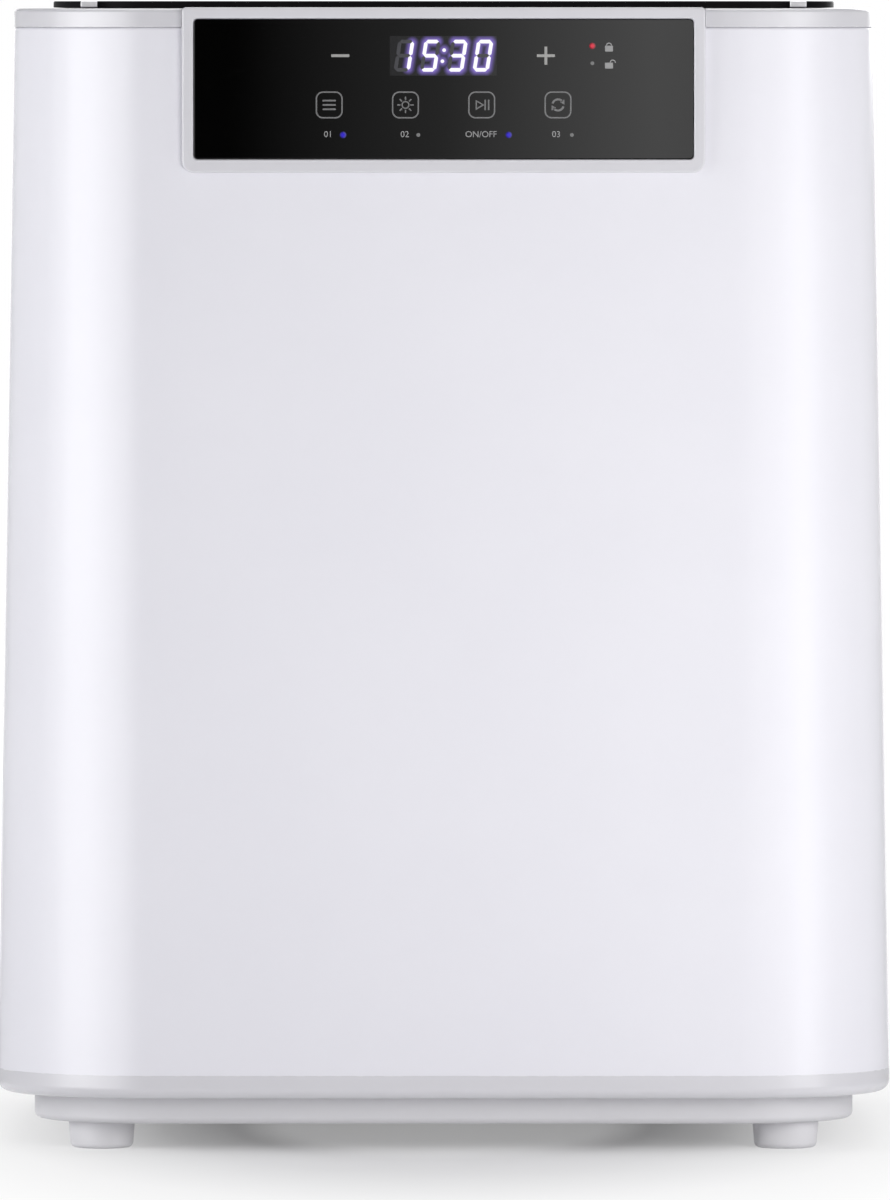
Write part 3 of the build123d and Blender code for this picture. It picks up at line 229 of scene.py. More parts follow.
axes = node(tree, "SeparateXYZ", {0: spot}).outputs
azimuth = math(tree, "ARCTAN2", axes[0], math(tree, "MULTIPLY", axes[1], -1.0))
along = node(tree, "MapRange", {0: azimuth, 1: -pi, 2: pi}).outputs[0]
bands = ramp(tree, along, [((turn + 180) / 360, level / tent_peak) for turn, level in tent_panels])
low_dimmed = eased_range(tree, axes[2], -0.3, 0.45, 0.78, 1.0)
high_dimmed = eased_range(tree, axes[2], 0.9, 1.5, tent_peak, 0.22 * tent_peak)
glow = shine(tree, "Emission", bands, math(tree, "MULTIPLY", low_dimmed, high_dimmed))
low_glow = shine(tree, "Emission", (0.82, 0.82, 0.83), 1.0)
node(tree, "OutputMaterial", {0: mixed(tree, eased_range(tree, axes[2], -1.1, -0.4), low_glow, glow)})
tent.data.materials.append(tent_cloth)
for unseen in ("camera", "diffuse", "shadow", "transmission", "volume_scatter"):
    setattr(tent, "visible_" + unseen, False)

# ---------------------------------------------------------------- outer shell
# One tall injection moulding in white ABS, drawn in towards the top so that it leaves its mould, with
# a cut-out for the panel in front and for the grille, inlet and screws behind. Buffed to a gloss.
X, Y, Z = range(3)
signs = [(a, b) for a in (-1, 1) for b in (-1, 1)]


def choose(piece, kind="FACE", test=lambda item: True):
    """Opens a piece in edit mode and selects the faces or edges for which test is true."""
    only(piece)
    bpy.ops.object.mode_set(mode="EDIT")
    bpy.ops.mesh.select_mode(type=kind)
    bpy.ops.mesh.select_all(action="DESELECT")
    mesh = bmesh.from_edit_mesh(piece.data)
    mesh.normal_update()
    for item in mesh.faces if kind == "FACE" else mesh.edges:
        if test(item):
            item.select_set(True)
    mesh.select_flush_mode()
    bmesh.update_edit_mesh(piece.data)


def near(a, b, slack=2e-5):
    return abs(a - b) < slack


def sharp(edge, limit=1.0):
    return edge.calc_face_angle(0) > limit


def rim_at(axis, place, limit=1.0):
    """Tests for sharp edges that lie wholly at one place along an axis."""
    return lambda edge: all(near(v.co[axis], place) for v in edge.verts) and sharp(edge, limit)


def runs_along_y(edge):
    first, last = (v.co for v in edge.verts)
    return near(first.x, last.x) and near(first.z, last.z)


def close(piece):
    """Leaves edit mode."""
    bpy.ops.object.mode_set(mode="OBJECT")
    return piece


def push(x, y, z):
    """Extrudes the selected faces."""
    bpy.ops.mesh.extrude_region_move(TRANSFORM_OT_translate={"value": (x, y, z)})


def face_outward():
    """Turns every normal of the open piece outward."""
    bpy.ops.mesh.select_all(action="SELECT")
    bpy.ops.mesh.normals_make_consistent(inside=False)


def round_corners(sheet, radius, segments):
    """Rounds the corners of a flat sheet."""
    choose(sheet)
    bpy.ops.mesh.bevel(offset=radius, segments=segments, affect="VERTICES", profile=0.5)
    return close(sheet)


def rounded_sheet(name, half_x, half_y, radius, z, segments, y=0.0):
    """A flat outline with rounded corners, facing up."""
    sheet = added(name, bpy.ops.mesh.primitive_plane_add, (half_x, half_y, 1), size=2, location=(0, y, z))
    return round_corners(sheet, radius, segments)


def rounded_plate(name, half_x, half_y, radius, z0, z1, segments=24, y=0.0):
    """A plate with rounded upright corners."""
    plate = rounded_sheet(name, half_x, half_y, radius, z0, segments, y)
    choose(plate)
    push(0, 0, z1 - z0)
    face_outward()
    return close(plate)


def brick(name, x0, x1, y0, y1, z0, z1):
    """A box between two corners."""
    middle = ((x0 + x1) / 2, (y0 + y1) / 2, (z0 + z1) / 2)
    return added(name, bpy.ops.mesh.primitive_cube_add, (x1 - x0, y1 - y0, z1 - z0), size=1, location=middle)


def rod(name, place, radius, length, axis=Z, vertices=48):
    """A cylinder centred on place, along one axis."""
    turn = ((0, pi / 2, 0), (pi / 2, 0, 0), (0, 0, 0))[axis]
    return added(
        name, bpy.ops.mesh.primitive_cylinder_add,
        vertices=vertices, radius=radius, depth=length, location=place, rotation=turn,
    )


def soften(piece, width, segments, test):
    """Bevels the edges for which test is true."""
    choose(piece, "EDGE", test)
    bpy.ops.mesh.bevel(offset=width, segments=segments, profile=0.5, affect="EDGES", clamp_overlap=True)
    return close(piece)


def apply_modifier(piece, kind, **settings):
    """Adds a modifier, sets it and applies it."""
    only(piece)
    modifier = piece.modifiers.new(kind.lower(), kind)
    for key, value in settings.items():
        setattr(modifier, key, value)
    bpy.ops.object.modifier_apply(modifier=modifier.name)
    return piece


def combine(piece, tools, operation="DIFFERENCE"):
    """Cuts the tools out of a piece, or adds them to it, and removes them."""
    for tool in tools:
        apply_modifier(piece, "BOOLEAN", object=tool, operation=operation, solver="EXACT")
        bpy.data.objects.remove(tool, do_unlink=True)
    return piece


def finish_surface(piece, angle=35):
    """Smooth shading that keeps flat faces flat and edges crisp."""
    only(piece)
    bpy.ops.object.shade_smooth_by_angle(angle=radians(angle))
    return apply_modifier(piece, "WEIGHTED_NORMAL", keep_sharp=True, weight=80)


shell_low, shell_seam, shell_high = 0.0208, 0.0227, 0.3255
shell_half, shell_draft, shell_corner, shell_wall = 0.125, 0.005, 0.044, 0.0025
shell_lean = shell_draft / (shell_high - shell_low)


def shell_face(z):
    """How far out the shell's front and rear faces stand at height z."""
    return shell_half + shell_draft * (shell_high - z) / (shell_high - shell_low)


foot_half = shell_face(shell_seam)
shell = rounded_sheet("shell_moulding", foot_half, foot_half, shell_corner, shell_seam, 32)
choose(shell)
bpy.ops.mesh.inset(thickness=foot_half - shell_half, depth=shell_high - shell_seam, use_even_offset=True)
choose(shell, "EDGE", lambda e: e.is_boundary)
bpy.ops.mesh.edge_face_add()
close(shell)
soften(shell, 0.0008, 4, rim_at(Z, shell_high))
choose(shell, "FACE", lambda f: abs(f.normal.z) > 0.99)
bpy.ops.mesh.inset(thickness=shell_wall, use_even_offset=True, use_individual=True)
bpy.ops.mesh.bridge_edge_loops()
face_outward()
close(shell)

inlet_x, inlet_z, inlet_pad, gap_half_x, gap_half_z = 0.050, 0.050, 0.1263934, 0.029, 0.0195
fan_z, fan_screw = 0.2, 0.03575
combine(shell, [brick("pad", 0.013, 0.087, inlet_pad, 0.128, 0.027, 0.073)], "UNION")
openings = [
    brick("panel_gap", -0.07365, 0.07365, -0.140, -0.120, 0.28535, 0.34),
    rod("grille_gap", (0, 0.125, fan_z), 0.04015, 0.03, Y, 96),
    brick(
        "inlet_gap", inlet_x - gap_half_x, inlet_x + gap_half_x, 0.12, 0.14,
        inlet_z - gap_half_z, inlet_z + gap_half_z,
    ),
]
screw_places = [(sx * fan_screw, fan_z + sz * fan_screw) for sx, sz in signs]
screw_places += [(inlet_x + sx * 0.0332, inlet_z + sz * 0.014) for sx, sz in signs]
screw_sunk, sink_radius = 0.0022, 0.00305
for x, z in screw_places:
    openings.append(rod("sink", (x, shell_face(z) - screw_sunk + 0.005, z), sink_radius, 0.010, Y, 32))
combine(shell, openings)
finish_surface(shell)


def shader_group(name, numbers_in, numbers_out):
    """A shader node group, with its inputs to read and its outputs to link."""
    group = bpy.data.node_groups.new(name, "ShaderNodeTree")
    group.interface.new_socket("Vector", in_out="INPUT", socket_type="NodeSocketVector")
    for label, value in numbers_in.items():
        group.interface.new_socket(label, in_out="INPUT", socket_type="NodeSocketFloat").default_value = value
    for label in numbers_out:
        group.interface.new_socket(label, in_out="OUTPUT", socket_type="NodeSocketFloat")
    return group, group.nodes.new("NodeGroupInput").outputs, group.nodes.new("NodeGroupOutput").inputs


def graded(tree, value, gain, base):
    """value * gain + base, each a socket or a number."""
    return math(tree, "ADD", math(tree, "MULTIPLY", value, gain), base)


# Moulded skin: the fine grain a mould leaves, cloudy colour and a few specks in the pigment.
skin, given, result = shader_group(
    "moulded skin", {"Grain": 2500.0, "Cloud": 22.0}, ("Height", "Cloud", "Speck")
)
fine = noise(skin, given["Vector"], given["Grain"], 4.0, 0.6)
sink_marks = math(skin, "MULTIPLY", noise(skin, given["Vector"], 55.0, 2.0), 0.65)
cells = node(skin, "TexVoronoi", {"Vector": given["Vector"], "Scale": 210.0}).outputs
skin.links.new(graded(skin, fine, 0.35, sink_marks), result["Height"])
skin.links.new(noise(skin, given["Vector"], given["Cloud"], 5.0, 0.55), result["Cloud"])
skin.links.new(math(skin, "LESS_THAN", cells["Distance"], 0.045), result["Speck"])

# Handling: wiped smears, fingertip patches and settled dust, strongest on faces that look up.
handling, given, result = shader_group("handling", {"Size": 9.0}, ("Smear", "Dust", "Scratch"))
stretch = {0: given["Vector"], "Rotation": (0, 0.4, 0.3), "Scale": (1.0, 1.0, 0.35)}
smear = noise(handling, node(handling, "Mapping", stretch).outputs[0], given["Size"], 6.0, 0.62)
facing = node(handling, "NewGeometry").outputs["Normal"]
upward = eased_range(handling, node(handling, "SeparateXYZ", {0: facing}).outputs["Z"], 0.55, 0.98)
motes = noise(handling, given["Vector"], 1500.0, 2.0, 0.6)
drifted = graded(handling, noise(handling, given["Vector"], 24.0, 3.0), 0.25, motes)
settled = math(handling, "GREATER_THAN", drifted, 0.815)
hair = {0: given["Vector"], "Rotation": (0.3, 0.9, 0.5), "Scale": (160.0, 6.0, 900.0)}
hair_lines = noise(handling, node(handling, "Mapping", hair).outputs[0], 1.0, 1.0, 0.4)
handling.links.new(eased_range(handling, smear, 0.42, 0.72), result["Smear"])
handling.links.new(math(handling, "MULTIPLY", upward, settled), result["Dust"])
handling.links.new(math(handling, "GREATER_THAN", hair_lines, 0.74), result["Scratch"])

# Worn edges: where the surface turns sharply, broken up by noise.
edges, given, result = shader_group("worn edges", {"Radius": 0.0006, "Break": 300.0}, ("Edge",))
soft_normal = node(edges, "Bevel", {"Radius": given["Radius"]}, samples=4).outputs[0]
normals = {0: soft_normal, 1: node(edges, "NewGeometry").outputs["Normal"]}
likeness = node(edges, "VectorMath", normals, operation="DOT_PRODUCT").outputs["Value"]
broken = eased_range(edges, noise(edges, given["Vector"], given["Break"], 4.0), 0.40, 0.62)
edges.links.new(math(edges, "MULTIPLY", eased_range(edges, likeness, 0.985, 0.80), broken), result["Edge"])


def use_group(tree, group, vector, **values):
    """Places a group in a material with its own values."""
    return node(tree, "Group", {"Vector": vector, **values}, node_tree=group).outputs


def blend_colour(tree, factor, a, b):
    """Mixes two colours, each a socket or a tuple."""
    return node(tree, "Mix", {0: factor, 6: a, 7: b}, data_type="RGBA").outputs[2]


def tinted(tree, mask, amount, base, tint):
    """Lets part of a tint through where the mask is."""
    return blend_colour(tree, math(tree, "MULTIPLY", mask, amount), base, tint)


def relief(tree, height, distance, strength=1.0, **base):
    """A bump from a height, in metres."""
    sockets = {"Height": height, "Strength": strength, "Distance": distance, **base}
    return node(tree, "Bump", sockets).outputs[0]


def surface(tree, inputs):
    """Ends a material in its one shader, with sockets and constants by name."""
    node(tree, "OutputMaterial", {0: node(tree, "BsdfPrincipled", inputs).outputs[0]})


def plastic(name, colour, shade, rough=0.3, grain=2500.0, bump=0.00001, smear=0.06, wear=None, specular=0.5):
    """Moulded plastic: cloudy colour, grain, smears in the gloss, dust and worn edges."""
    material, tree, spot = new_material(name)
    look = use_group(tree, skin, spot, Grain=grain)
    marks = use_group(tree, handling, spot)
    tint = tinted(tree, look["Speck"], 0.25, blend_colour(tree, look["Cloud"], colour, shade), shade)
    tint = tinted(tree, marks["Dust"], 0.10, tint, (0.50, 0.48, 0.45))
    gloss = graded(tree, marks["Dust"], 0.20, graded(tree, marks["Smear"], smear, rough))
    if wear:
        edge = use_group(tree, edges, spot)["Edge"]
        tint = tinted(tree, edge, 0.6, tint, wear)
        gloss = graded(tree, edge, 0.12, gloss)
    surface(tree, {
        "Base Color": tint, "Roughness": gloss, "Specular IOR Level": specular,
        "Normal": relief(tree, look["Height"], bump),
    })
    return material


def settle(piece, material, body, slot, *stands_for):
    """Paints a piece, hangs it on the body that carries it and hides the CAD nodes it stands for; slot is not
    used.
    """
    piece.data.materials.clear()
    piece.data.materials.append(material)
    if stands_for:
        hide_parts(*stands_for)
    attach(piece, body)
    return piece


def dress(material, *names):
    """Gives CAD nodes a material."""
    for name in names:
        for slot in nodes[name].material_slots:
            slot.material = material


shell_white = plastic(
    "glossy white ABS", (0.80, 0.795, 0.845), (0.765, 0.76, 0.815), 0.13, 1800.0, 0.000004, 0.05
)
settle(shell, shell_white, "housing", "shell_plastic", "outer_shell")

# ---------------------------------------------------------------- top rim
# A flat frame in silver-grey plastic that snaps into the shell and carries the lid: a seal groove round
# the chamber opening, two hinge recesses behind and a finger scoop at each side.
rim_low, rim_top, rim_half, opening_half, over = 0.3255, 0.3309, 0.125, 0.095, 0.01
rim = rounded_plate("rim_frame", rim_half, rim_half, 0.039, rim_low, rim_top, 32)
soften(rim, 0.0012, 5, rim_at(Z, rim_top))
cuts = [
    rounded_plate("opening", opening_half, opening_half, 0.014, rim_low - over, rim_top + over),
    brick("panel_gap", -0.07565, 0.07565, -0.13, -0.11385, rim_low - over, rim_top + over),
]
groove = rounded_plate("groove", 0.100, 0.100, 0.019, rim_top - 0.0012, rim_top + 0.001)
combine(groove, [rounded_plate("kept", 0.097, 0.097, 0.016, rim_top - over, rim_top + over)])
rail_x, recess_half = 0.1026, 0.0048
for side in (-1, 1):
    left, right = side * rail_x - recess_half, side * rail_x + recess_half
    cuts.append(brick("recess", left, right, 0.102, 0.1161, rim_low - 0.001, rim_top + over))
    scoop = rod("scoop", (side * 0.1145, 0, rim_top + 0.0055), 0.009, 0.040, Y, 64)
    cuts.append(soften(scoop, 0.003, 6, sharp))
combine(rim, [*cuts, groove])
soften(rim, 0.0002, 2, rim_at(Z, rim_top, 1.2))
finish_surface(rim)
rim_grey = plastic(
    "silver-grey satin plastic", (0.635, 0.63, 0.665), (0.605, 0.60, 0.635), 0.19, 3200.0, 0.000008,
    wear=(0.86, 0.86, 0.88), specular=0.85,
)
settle(rim, rim_grey, "housing", "rim_plastic", "top_rim")

# ---------------------------------------------------------------- bottom trim
# A ring in satin grey plastic under the shell, well rounded below. The shell stands on its raised wall,
# and a tongue inside the wall keeps the two in line.
trim_low, trim_shelf, trim_clear = 0.0159, 0.0208, 0.03
trim = rounded_plate("trim_ring", 0.130, 0.130, 0.044, trim_low, shell_seam, 32)
soften(trim, 0.0032, 8, rim_at(Z, trim_low))
combine(trim, [rounded_plate("tongue", 0.1272, 0.1272, 0.0412, trim_shelf, 0.0258, 16)], "UNION")
combine(trim, [
    rounded_plate("hole", 0.113, 0.113, 0.027, trim_low - over, trim_clear),
    rounded_plate("well", 0.1252, 0.1252, 0.0392, trim_shelf, trim_clear, 16),
])
finish_surface(trim)
trim_grey = plastic(
    "satin grey trim", (0.645, 0.64, 0.675), (0.615, 0.61, 0.645), 0.20, 3000.0, 0.000008,
    wear=(0.76, 0.76, 0.78), specular=0.85,
)
settle(trim, trim_grey, "housing", "trim_plastic", "bottom_trim")

# ---------------------------------------------------------------- base tray
# A shallow moulded pan set back under the trim, with a row of intake slots in its floor and screw
# towers inside. Same grey plastic with a coarser spark-eroded grain.
tray_low, tray_half, tray_corner, tray_wall = 0.008, 0.11925, 0.03325, 0.003
hollow_half = tray_half - tray_wall
tray = rounded_plate("tray_pan", tray_half, tray_half, tray_corner, tray_low, trim_low)
soften(tray, 0.0018, 5, rim_at(Z, tray_low))
cuts = [rounded_plate("hollow", hollow_half, hollow_half, 0.03025, tray_low + 0.0025, trim_low + over)]
for n in range(-3, 4):
    cuts.append(rounded_plate("slot", 0.030, 0.00199, 0.00195, tray_low - 0.005, 0.012, 8, n * 0.009))
combine(tray, cuts)
for sx, sy in signs:
    x, y = sx * 0.108, sy * 0.06
    combine(tray, [rod("tower", (x, y, 0.0146), 0.0044, 0.0101, Z, 32)], "UNION")
    sink = rod("sink", (x, y, 0.0086), sink_radius, 0.0052, Z, 32)
    combine(tray, [sink, rod("bore", (x, y, 0.015), 0.00155, 0.03, Z, 24)])
finish_surface(tray)
tray_grey = plastic(
    "grained grey tray", (0.675, 0.67, 0.695), (0.64, 0.635, 0.66), 0.42, 1500.0, 0.00003,
    wear=(0.72, 0.72, 0.74),
)
settle(tray, tray_grey, "housing", "trim_plastic", "base_tray")

# ---------------------------------------------------------------- feet
# Four tapered feet in light grey rubber, each held by a screw sunk in a well underneath.
foot_place, foot_height = 0.0994, 0.008
foot = added(
    "foot_1", bpy.ops.mesh.primitive_cone_add, vertices=64, radius1=0.0090, radius2=0.00965,
    depth=foot_height, location=(-foot_place, -foot_place, foot_height / 2),
)
soften(foot, 0.0015, 6, rim_at(Z, 0.0, 0.9))
choose(foot, "FACE", lambda f: f.normal.z < -0.9999)
bpy.ops.mesh.inset(thickness=0.0041)
push(0, 0, 0.004)
close(foot)
soften(foot, 0.0003, 3, rim_at(Z, 0.0))
finish_surface(foot)
foot_rubber = plastic(
    "light grey rubber", (0.74, 0.735, 0.76), (0.69, 0.685, 0.71), 0.55, 1100.0, 0.00004, 0.1,
    (0.66, 0.66, 0.68),
)


def copied(piece, name, place=(0, 0, 0), turn=(0, 0, 0)):
    """A copy with a mesh of its own, turned and moved, its place in the mesh."""
    twin = bpy.data.objects.new(name, piece.data.copy())
    twin.data.name = name
    scene.collection.objects.link(twin)
    twin.location, twin.rotation_euler = place, turn
    only(twin)
    bpy.ops.object.transform_apply(location=True, rotation=True, scale=True)
    return twin


feet = [foot]
for number, (right, back) in ((2, (1, 0)), (3, (0, 1)), (4, (1, 1))):
    feet.append(copied(foot, f"foot_{number}", (2 * foot_place * right, 2 * foot_place * back, 0)))
for piece, name in zip(feet, ("front_left", "front_right", "rear_left", "rear_right")):
    settle(piece, foot_rubber, "housing", "foot_rubber", f"foot_{name}")

# ---------------------------------------------------------------- panel bezel
# A separate frame in pale grey plastic round the touch glass. It stands a little proud of the shell,
# laps over it on three sides and snaps through its cut-out from the front.
bezel_front, bezel_back, bezel_lap = -0.1272, -0.114, -0.1240
bezel_half, bezel_low, bezel_high, neck_half = 0.0755, 0.2835, 0.3312, 0.0735
glass_half, glass_low, glass_high = 0.0721, 0.28745, 0.32785
glass_front, glass_back, glass_corner, glass_play, glass_ledge = -0.1266, -0.1246, 0.0012, 0.00015, 0.0025


def front_block(name, half_x, z0, z1, y0, y1, low_corner, high_corner, segments=8):
    """An upright plate that faces the front, its lower and upper corners rounded separately."""
    plate = brick(name, -half_x, half_x, y0, y1, z0, z1)
    for z, radius in ((z0, low_corner), (z1, high_corner)):
        soften(plate, radius, segments, lambda e: runs_along_y(e) and near(e.verts[0].co.z, z))
    return plate


bezel = front_block(
    "bezel_frame", bezel_half, bezel_low, bezel_high, bezel_front, bezel_lap, 0.0035, 0.0012, 12
)
soften(bezel, 0.0006, 4, rim_at(Y, bezel_front))
choose(bezel)
bpy.ops.mesh.bisect(
    plane_co=(0, -shell_face(0.3) - 0.0001, 0.3), plane_no=(0, 1, -shell_lean),
    use_fill=True, clear_outer=True,
)
close(bezel)
neck = brick("neck", -neck_half, neck_half, bezel_front + 0.001, bezel_back, 0.2855, 0.3255)
combine(bezel, [neck], "UNION")
pocket = front_block(
    "pocket", glass_half + glass_play, glass_low - glass_play, glass_high + glass_play, -0.14, glass_back,
    glass_corner, glass_corner,
)
window_half = glass_half - glass_ledge
window = brick(
    "window", -window_half, window_half, -0.13, -0.11, glass_low + glass_ledge, glass_high - glass_ledge
)
combine(bezel, [pocket, window])
inner_rim = rim_at(Y, bezel_front, 1.2)
soften(bezel, 0.00035, 3, lambda e: inner_rim(e) and all(abs(v.co.x) < neck_half for v in e.verts))
finish_surface(bezel)
bezel_grey = plastic(
    "pale grey bezel", (0.645, 0.64, 0.675), (0.62, 0.615, 0.65), 0.24, 3400.0, 0.000008, 0.015,
    (0.76, 0.76, 0.79),
)
settle(bezel, bezel_grey, "housing", "bezel_plastic", "panel_bezel")

# ---------------------------------------------------------------- touch glass
# A plate of float glass, painted black on its back, with its edges ground and polished. The marks are
# screen printed in grey, and left clear where the display and the lights shine through.
glass = front_block(
    "touch_glass", glass_half, glass_low, glass_high, glass_front, glass_back, glass_corner, glass_corner
)
soften(glass, 0.0003, 4, rim_at(Y, glass_front))
finish_surface(glass)
glass_black, tree, spot = new_material("back-painted black glass")
marks = use_group(tree, handling, spot, Size=14.0)
black = blend_colour(tree, noise(tree, spot, 30.0, 5.0), (0.0002, 0.0002, 0.0002), (0.0005, 0.0005, 0.0005))
surface(tree, {
    "Base Color": tinted(tree, marks["Dust"], 0.1, black, (0.3, 0.3, 0.3)), "IOR": 1.5,
    "Roughness": graded(tree, marks["Scratch"], 0.02, graded(tree, marks["Smear"], 0.02, 0.015)),
    "Normal": relief(tree, noise(tree, spot, 18.0, 1.0), 0.00002, 0.35),
})
settle(glass, glass_black, "housing", "panel_black_glass", "panel_glass")

print_face, print_depth, print_slot = glass_front - 0.00003, 0.00009, "panel_black_glass"
upright = (pi / 2, 0, 0)


def joined(name, pieces):
    """Joins pieces into the first of them."""
    only(*pieces)
    if len(pieces) > 1:
        bpy.ops.object.join()
    pieces[0].name = pieces[0].data.name = name
    return pieces[0]


def printed(name, pieces, material, slot=print_slot):
    """Joins flat strokes on the glass into one thin layer of ink with closed sides."""
    layer = apply_modifier(joined(name, pieces), "SOLIDIFY", thickness=print_depth, offset=-1)
    settle(layer, material, "housing", slot)


def front_sheet(x, z, half_x, half_z, radius=0.0, segments=5, lift=0.0):
    """A flat stroke on the glass, its corners rounded or, with one segment, pointed."""
    sheet = added(
        "stroke", bpy.ops.mesh.primitive_plane_add, (half_x, half_z, 1),
        size=2, location=(x, print_face - lift, z), rotation=upright,
    )
    return round_corners(sheet, radius, segments) if radius else sheet


def outlined(sheet, stroke):
    """Leaves only a border of a flat shape."""
    choose(sheet)
    bpy.ops.mesh.inset(thickness=stroke, use_even_offset=True)
    bpy.ops.mesh.delete(type="FACE")
    return close(sheet)


def turned(sheet, x, z, angle):
    """Turns a flat stroke about a point of the glass, anticlockwise as it is read."""
    choose(sheet)
    bpy.ops.transform.rotate(value=angle, orient_axis="Y", center_override=(x, print_face, z))
    return close(sheet)


def disc(x, z, radius, vertices=24):
    """A flat round mark, or a polygon with its first corner up."""
    return added(
        "mark", bpy.ops.mesh.primitive_circle_add, vertices=vertices, radius=radius, fill_type="NGON",
        location=(x, print_face, z), rotation=upright,
    )


def arc(x, z, radius, stroke, keep):
    """A round stroke, kept only where keep is true of the angle in degrees."""
    mark = outlined(disc(x, z, radius, 48), stroke)

    def dropped(face):
        middle = face.calc_center_median()
        return not keep(atan2(middle.z - z, middle.x - x) * 180 / pi % 360)

    choose(mark, "FACE", dropped)
    bpy.ops.mesh.delete(type="FACE")
    return close(mark)


def lettering(text, x, z, height):
    """Plain figures, made a mesh, centred on a point of the glass."""
    only()
    bpy.ops.object.text_add(location=(x, print_face, z - height * 0.35), rotation=upright)
    words = bpy.context.object
    words.data.body, words.data.size, words.data.align_x = text, height * 1.4, "CENTER"
    words.data.resolution_u = 4
    bpy.ops.object.convert(target="MESH")
    bpy.ops.object.transform_apply(location=True, rotation=True, scale=True)
    return bpy.context.object


# Touch keys in rounded frames: a list, a sun, play and pause, and a turning arrow.
key_x, key_z, label_z, label_height = (-0.033, -0.011, 0.011, 0.033), 0.30305, 0.2944, 0.0018
key_half, key_corner, key_line, thin_line = 0.0039, 0.0021, 0.00040, 0.00035
rows_x, sun_x, play_x, turn_x = key_x
play_middle = play_x - 0.0009
strokes = [outlined(front_sheet(x, key_z, key_half, key_half, key_corner, 8), key_line) for x in key_x]
strokes += [front_sheet(rows_x, key_z + row * 0.00125, 0.0019, 0.00024, 0.00012) for row in (-1, 0, 1)]
strokes.append(outlined(disc(sun_x, key_z, 0.00115, 32), thin_line))
for n in range(8):
    ray = front_sheet(sun_x + 0.0019, key_z, 0.00048, 0.00019, 0.0001)
    strokes.append(turned(ray, sun_x, key_z, n * pi / 4))
strokes.append(outlined(turned(disc(play_middle, key_z, 0.0017, 3), play_middle, key_z, -pi / 2), thin_line))
strokes += [front_sheet(play_x + dx, key_z, 0.00021, 0.0015, 0.0001) for dx in (0.0010, 0.0020)]
strokes.append(arc(turn_x, key_z, 0.0019, 0.00058, lambda a: 35 < a < 165 or 215 < a < 345))
for dx, dz, angle in ((0.00142, 0.00085, -2.60), (-0.00142, -0.00085, 0.54)):
    x, z = turn_x + dx, key_z + dz
    strokes.append(turned(disc(x, z, 0.00088, 3), x, z, angle))
label_places = (("01", -0.0333), ("02", -0.0112), ("ON/OFF", 0.0108), ("03", 0.0325))
labels = [lettering(text, x, label_z, label_height) for text, x in label_places]


def screen_ink(name, thin, full):
    """Grey ink, thinner and darker where the mesh it was pressed through held it back."""
    material, tree, spot = new_material(name)
    weave = noise(tree, spot, 5200.0, 3.0, 0.7)
    surface(tree, {
        "Base Color": blend_colour(tree, weave, thin, full), "Roughness": 0.12, "IOR": 1.45,
        "Normal": relief(tree, weave, 0.000002),
    })
    return material


ink_grey = screen_ink("grey screen ink", (0.26, 0.26, 0.263), (0.36, 0.36, 0.363))
ink_dark = screen_ink("dark grey screen ink", (0.145, 0.145, 0.148), (0.215, 0.215, 0.218))
printed("key_marks", strokes, ink_dark)
printed("key_labels", labels, ink_grey)

# Minus and plus at the sides of the display, and two padlocks, shut above open.
set_z, plus_x, minus_x, lock_x = 0.31725, 0.0295, -0.0298, 0.0477
set_half, set_line = 0.0026, 0.00040
plus = [front_sheet(plus_x, set_z, set_line, set_half)]
plus += [front_sheet(plus_x + side * 0.0015, set_z, 0.0011, set_line) for side in (-1, 1)]
lock_marks = []
for z, swing in ((0.3198, 0.0), (0.3149, 0.0011)):
    lock_marks.append(front_sheet(lock_x, z - 0.0005, 0.00115, 0.00085, 0.0002))
    lock_marks.append(arc(lock_x + swing, z + 0.00035, 0.00088, 0.00030, lambda a: a < 185 or a > 355))
minus = front_sheet(minus_x, set_z, set_half, set_line, 0.0001)
printed("set_marks", [minus, *plus], screen_ink("pale screen ink", (0.31, 0.308, 0.30), (0.38, 0.377, 0.367)))
printed("lock_marks", lock_marks, ink_grey)


# Round lights behind clear spots in the paint: two lit blue, one lit red, and three unlit ones given a faint
# painted grey glow.
def light_dot(name, x, z, radius, colour, strength, faded):
    """A lit spot, or an unlit one with a painted glow, domed a little like the lens behind it."""
    dot = disc(x, z, radius, 32)
    choose(dot)
    bpy.ops.mesh.inset(thickness=radius * 0.5, depth=0.00003)
    close(dot)
    lens, tree, spot = new_material(name + "_lens")
    centred = node(tree, "Mapping", {0: spot, "Location": (-x, 0, -z), "Scale": (1, 0, 1)}).outputs[0]
    off = node(tree, "VectorMath", {0: centred}, operation="LENGTH").outputs["Value"]
    smoke = blend_colour(tree, noise(tree, spot, 3000.0), (0.010, 0.010, 0.012), (0.016, 0.016, 0.018))
    surface(tree, {
        "Base Color": smoke, "Roughness": 0.1, "Emission Strength": strength,
        "Emission Color": blend_colour(tree, eased_range(tree, off, radius, radius * 0.3), faded, colour),
    })
    printed(name, [dot], lens, "indicator_lens")


blue, blue_rim = (0.018, 0.003, 0.58), (0.006, 0.001, 0.15)
red, red_rim = (0.75, 0.015, 0.045), (0.16, 0.004, 0.01)
# The unlit lights' colour: a faint painted grey glow, given off though they are off.
dark = (0.16, 0.16, 0.16)
lit_radius, dark_radius, state_x = 0.00095, 0.00055, 0.0429
light_dot("light_1", -0.0290, label_z, lit_radius, blue, 0.95, blue_rim)
light_dot("light_2", -0.0073, label_z, dark_radius, dark, 1.0, dark)
light_dot("light_3", 0.0188, label_z, lit_radius, blue, 0.95, blue_rim)
light_dot("light_4", 0.0370, label_z, dark_radius, dark, 1.0, dark)
light_dot("light_locked", state_x, 0.32006, lit_radius, red, 0.9, red_rim)
light_dot("light_open", state_x, 0.31507, dark_radius, dark, 1.0, dark)

